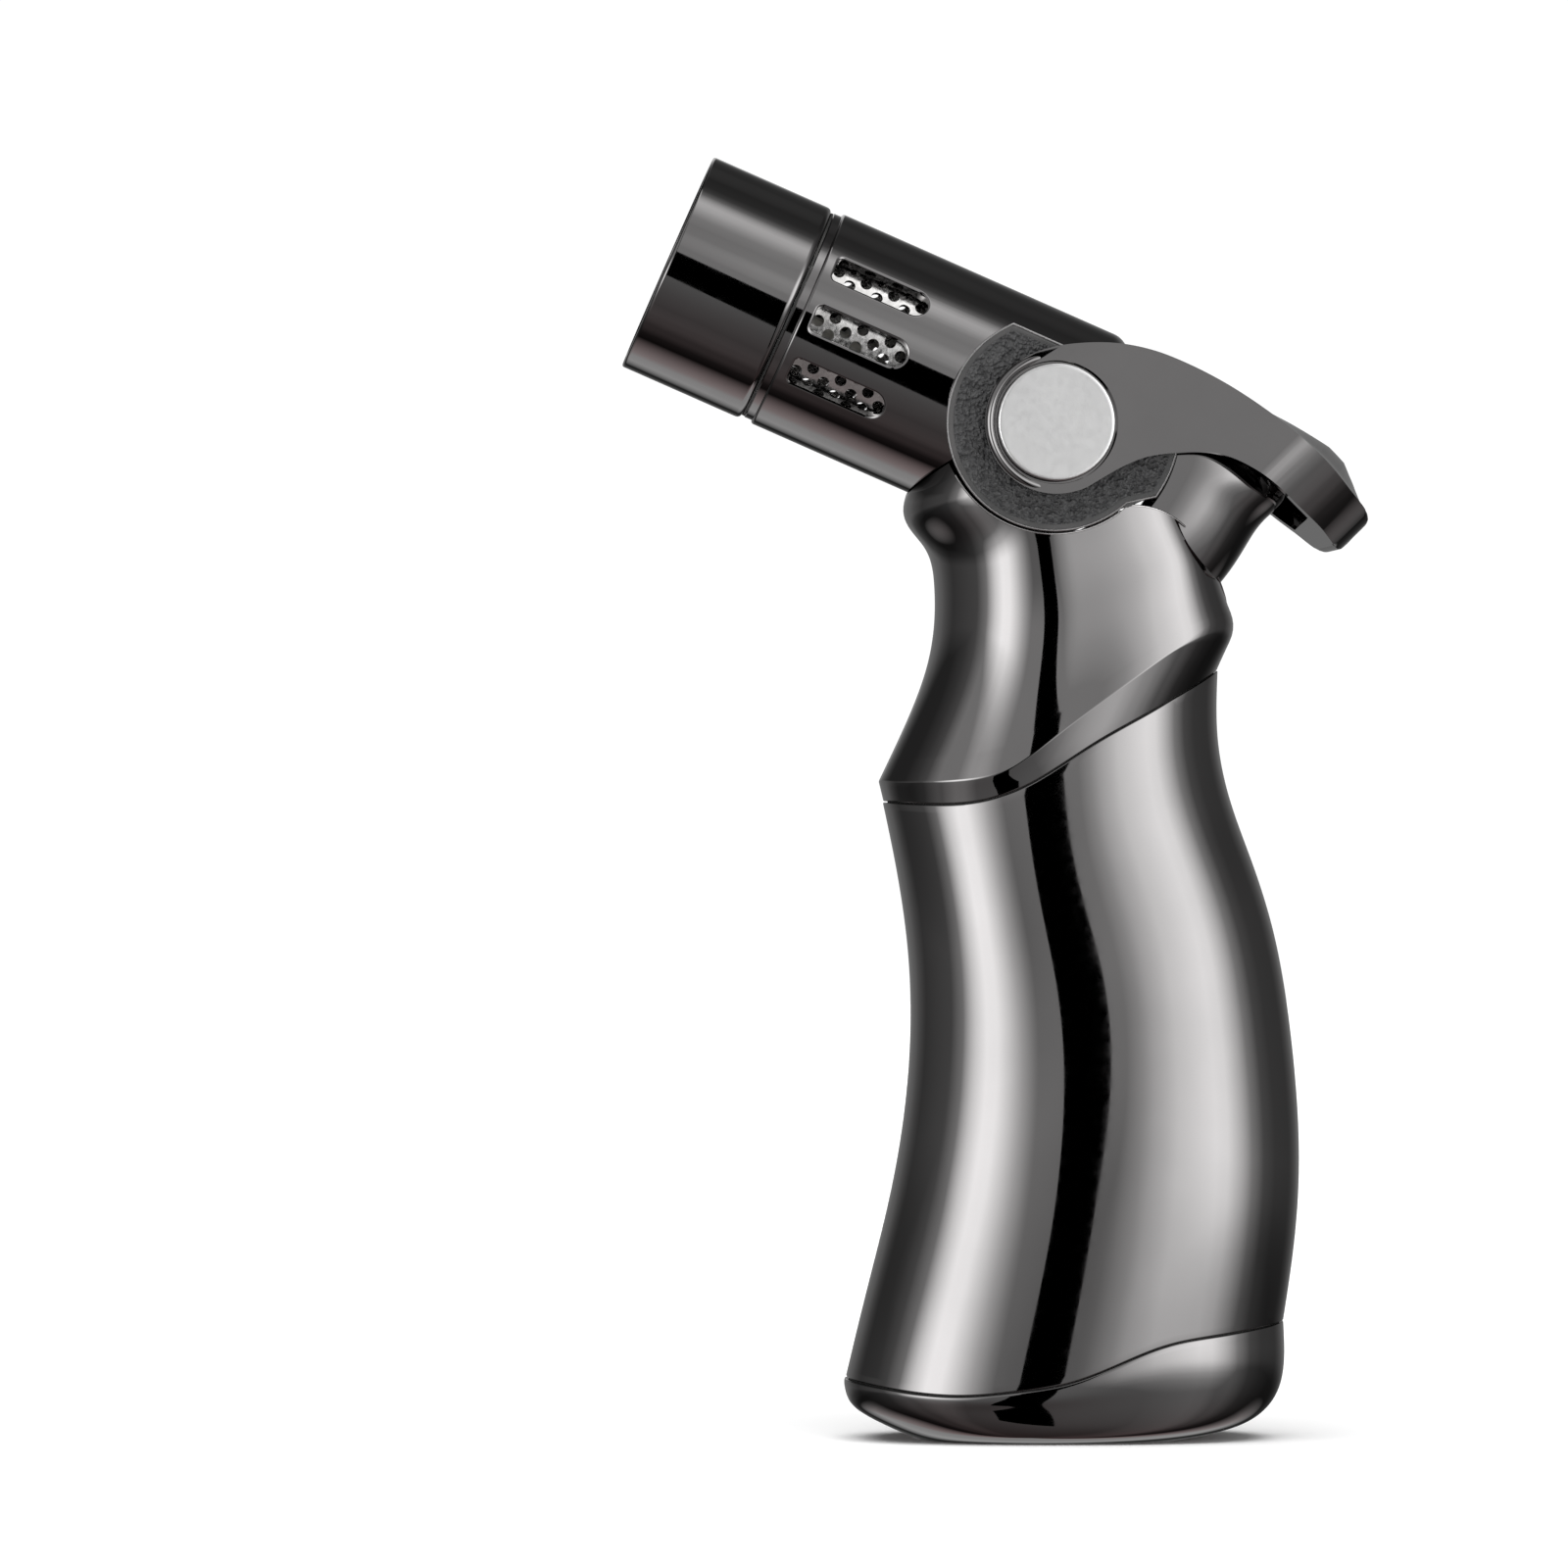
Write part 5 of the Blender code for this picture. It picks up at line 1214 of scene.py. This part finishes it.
def studio():
    """Soft panels in front on each side of a dark gap, a strip behind and a pale floor, by direction."""
    world = bpy.data.worlds.new("studio")
    bpy.context.scene.world = world
    world.use_nodes = True
    tree = world.node_tree
    tree.nodes.clear()
    place = tree.nodes.new("ShaderNodeTexCoord")
    split = tree.nodes.new("ShaderNodeSeparateXYZ")
    tree.links.new(place.outputs["Generated"], split.inputs["Vector"])
    x, y, z = split.outputs
    azimuth = math_node(tree, 'ARCTAN2', x, math_node(tree, 'MULTIPLY', y, -1.0))
    azimuth = math_node(tree, 'MULTIPLY', azimuth, 180 / math.pi)
    around = math_node(tree, 'ABSOLUTE', azimuth)
    height = math_node(tree, 'MULTIPLY', math_node(tree, 'ARCSINE', z), 180 / math.pi)
    panels = tone_curve(tree, azimuth, [
        (-180, 0.2), (-150, 0.25), (-121, 0.12), (-76, 0.22), (-62, 0.65), (-50.6, 2.5),
        (-41, 3.7), (-33, 3.6), (-26, 2.5), (-20, 1.45), (-14.6, 0.75), (-10, 0.32), (0, 0.3), (4.8, 0.36),
        (7.4, 0.74), (10, 1.0), (13, 1.45), (17, 1.85), (21, 2.3), (31.5, 2.9), (38, 3.2), (45, 3.05),
        (53.5, 2.0), (63.5, 0.76), (75.6, 0.25), (91, 0.15), (120, 0.12), (150, 0.25), (180, 0.2),
    ], 4)
    left = tone_curve(tree, height, [
        (-90, 0.02), (-54, 0.05), (-37, 0.1), (-22, 0.15), (-14, 0.45), (-8, 1.0), (6, 1.0), (10, 0.7),
        (14, 0.35), (18, 0.15), (30, 0.1), (90, 0.1),
    ])
    right = tone_curve(tree, height, [
        (-90, 0.05), (-37, 0.1), (-22, 0.12), (-16, 0.22), (-12, 0.35), (-9, 0.55), (-6, 0.85), (-3, 1.0),
        (14, 1.0), (20, 0.8), (28, 0.43), (36, 0.3), (44, 0.3), (52, 0.45), (60, 0.6), (90, 0.6),
    ])
    to_right = math_node(tree, 'GREATER_THAN', azimuth, 0.0)
    window = math_node(tree, 'ADD', math_node(tree, 'MULTIPLY', to_right, right),
                       math_node(tree, 'MULTIPLY', math_node(tree, 'SUBTRACT', 1.0, to_right), left))
    fill = tone_curve(tree, height, [
        (-90, 0.08), (-75, 0.085), (-60, 0.11), (-50, 0.14), (-40, 0.19), (-30, 0.23), (-21, 0.28),
        (-10, 0.35), (-3, 0.4), (2, 0.66), (45, 0.62), (60, 0.5), (90, 0.3),
    ])
    spread_round = tone_curve(tree, around, [
        (0, 1.0), (60, 1.0), (76, 0.35), (91, 0.2), (111, 0.1), (180, 0.05),
    ])
    strength = math_node(tree, 'MAXIMUM', math_node(tree, 'MULTIPLY', panels, window),
                         math_node(tree, 'MULTIPLY', fill, spread_round))
    back = tone_curve(tree, around, [
        (0, 0.0), (168, 0.0), (175, 1.0), (180, 1.0),
    ])
    above = tone_curve(tree, height, [
        (-90, 0.0), (0, 0.0), (10, 0.8), (30, 0.8), (60, 0.2), (90, 0.2),
    ])
    strength = math_node(tree, 'MAXIMUM', strength, math_node(tree, 'MULTIPLY', back, above))
    below = math_node(tree, 'MINIMUM', math_node(tree, 'ADD', height, 1.6), 0.0)
    slant = math_node(tree, 'MULTIPLY', below, 0.17)
    past_left = math_node(tree, 'GREATER_THAN', azimuth, math_node(tree, 'ADD', slant, -4.1))
    dark_gap = math_node(tree, 'MULTIPLY', past_left, math_node(tree, 'LESS_THAN', azimuth, 4.1))
    level = math_node(tree, 'LESS_THAN', math_node(tree, 'ABSOLUTE', height), 45.0)
    dark_gap = math_node(tree, 'MULTIPLY', dark_gap, level)
    strength = math_node(tree, 'MULTIPLY', strength, math_node(tree, 'SUBTRACT', 1.0, dark_gap))
    behind = tone_curve(tree, around, [
        (0, 0.0), (95, 0.0), (150, 1.0), (180, 1.0),
    ])
    pale_floor = tone_curve(tree, height, [(-90, 0.82), (-40, 0.82), (-25, 0.02), (90, 0.02)])
    strength = math_node(tree, 'MAXIMUM', strength, math_node(tree, 'MULTIPLY', behind, pale_floor))
    cool = tone_curve(tree, height, [
        (-90, 0.68), (-84, 0.7), (-51, 0.88), (-32, 0.95), (-20, 1), (90, 1),
    ])
    cool = math_node(tree, 'MAXIMUM', cool, behind)
    tinted = tree.nodes.new("ShaderNodeCombineXYZ")
    tree.links.new(strength, tinted.inputs[0])
    tree.links.new(math_node(tree, 'MULTIPLY', strength, cool), tinted.inputs[1])
    tree.links.new(math_node(tree, 'MULTIPLY', strength, cool), tinted.inputs[2])
    light = tree.nodes.new("ShaderNodeBackground")
    tree.links.new(tinted.outputs[0], light.inputs["Color"])
    backdrop = tree.nodes.new("ShaderNodeBackground")
    backdrop.inputs["Color"].default_value = (1, 1, 1, 1)
    backdrop.inputs["Strength"].default_value = 1.05
    seen = tree.nodes.new("ShaderNodeLightPath")
    choice = tree.nodes.new("ShaderNodeMixShader")
    tree.links.new(seen.outputs["Is Camera Ray"], choice.inputs["Fac"])
    tree.links.new(light.outputs[0], choice.inputs[1])
    tree.links.new(backdrop.outputs[0], choice.inputs[2])
    output = tree.nodes.new("ShaderNodeOutputWorld")
    tree.links.new(choice.outputs[0], output.inputs["Surface"])

    lamp = bpy.data.lights.new("overhead", 'SUN')
    lamp.energy = 3.35
    lamp.angle = math.radians(80)
    overhead = bpy.data.objects.new("overhead", lamp)
    overhead.rotation_euler = (math.radians(6), math.radians(-6), 0)
    overhead.visible_glossy = False
    bpy.context.scene.collection.objects.link(overhead)

    bm = bmesh.new()
    corners = [(-2, -2, 0), (2, -2, 0), (2, 2, 0), (-2, 2, 0)]
    bm.faces.new([bm.verts.new(Vector(corner) * 1000) for corner in corners])
    floor = to_object("floor", bm)
    material, tree, shader = new_material("pale_floor")
    pale = two_tone(tree, noise(tree, 3), (0.9, 0.9, 0.9), (0.93, 0.93, 0.93))
    tree.links.new(pale, shader.inputs["Base Color"])
    shader.inputs["Roughness"].default_value = 0.8
    shader.inputs["Specular IOR Level"].default_value = 0.0
    floor.data.materials.append(material)
    floor.visible_glossy = False


def camera():
    lens = bpy.data.cameras.new("camera")
    lens.sensor_width = 36.0
    lens.lens = 202.5
    lens.clip_start = 0.01
    view = bpy.data.objects.new("camera", lens)
    view.location = (-0.0770, -0.9988, 0.0742)
    aim = Vector((-0.0282, 0.0, 0.0742))
    view.rotation_euler = (aim - view.location).to_track_quat('-Z', 'Y').to_euler()
    bpy.context.scene.collection.objects.link(view)
    bpy.context.scene.camera = view
    bpy.context.scene.view_settings.view_transform = 'Standard'


# The materials by name.
FINISHES = make_finishes()


def main():
    camera()
    collar()
    painted_shade_groove_ring()
    barrel()
    liner()
    burner()
    neck()
    handle()
    base()
    plates()
    lever()
    skirt()
    caps()
    dial()
    carried_over()
    studio()


main()
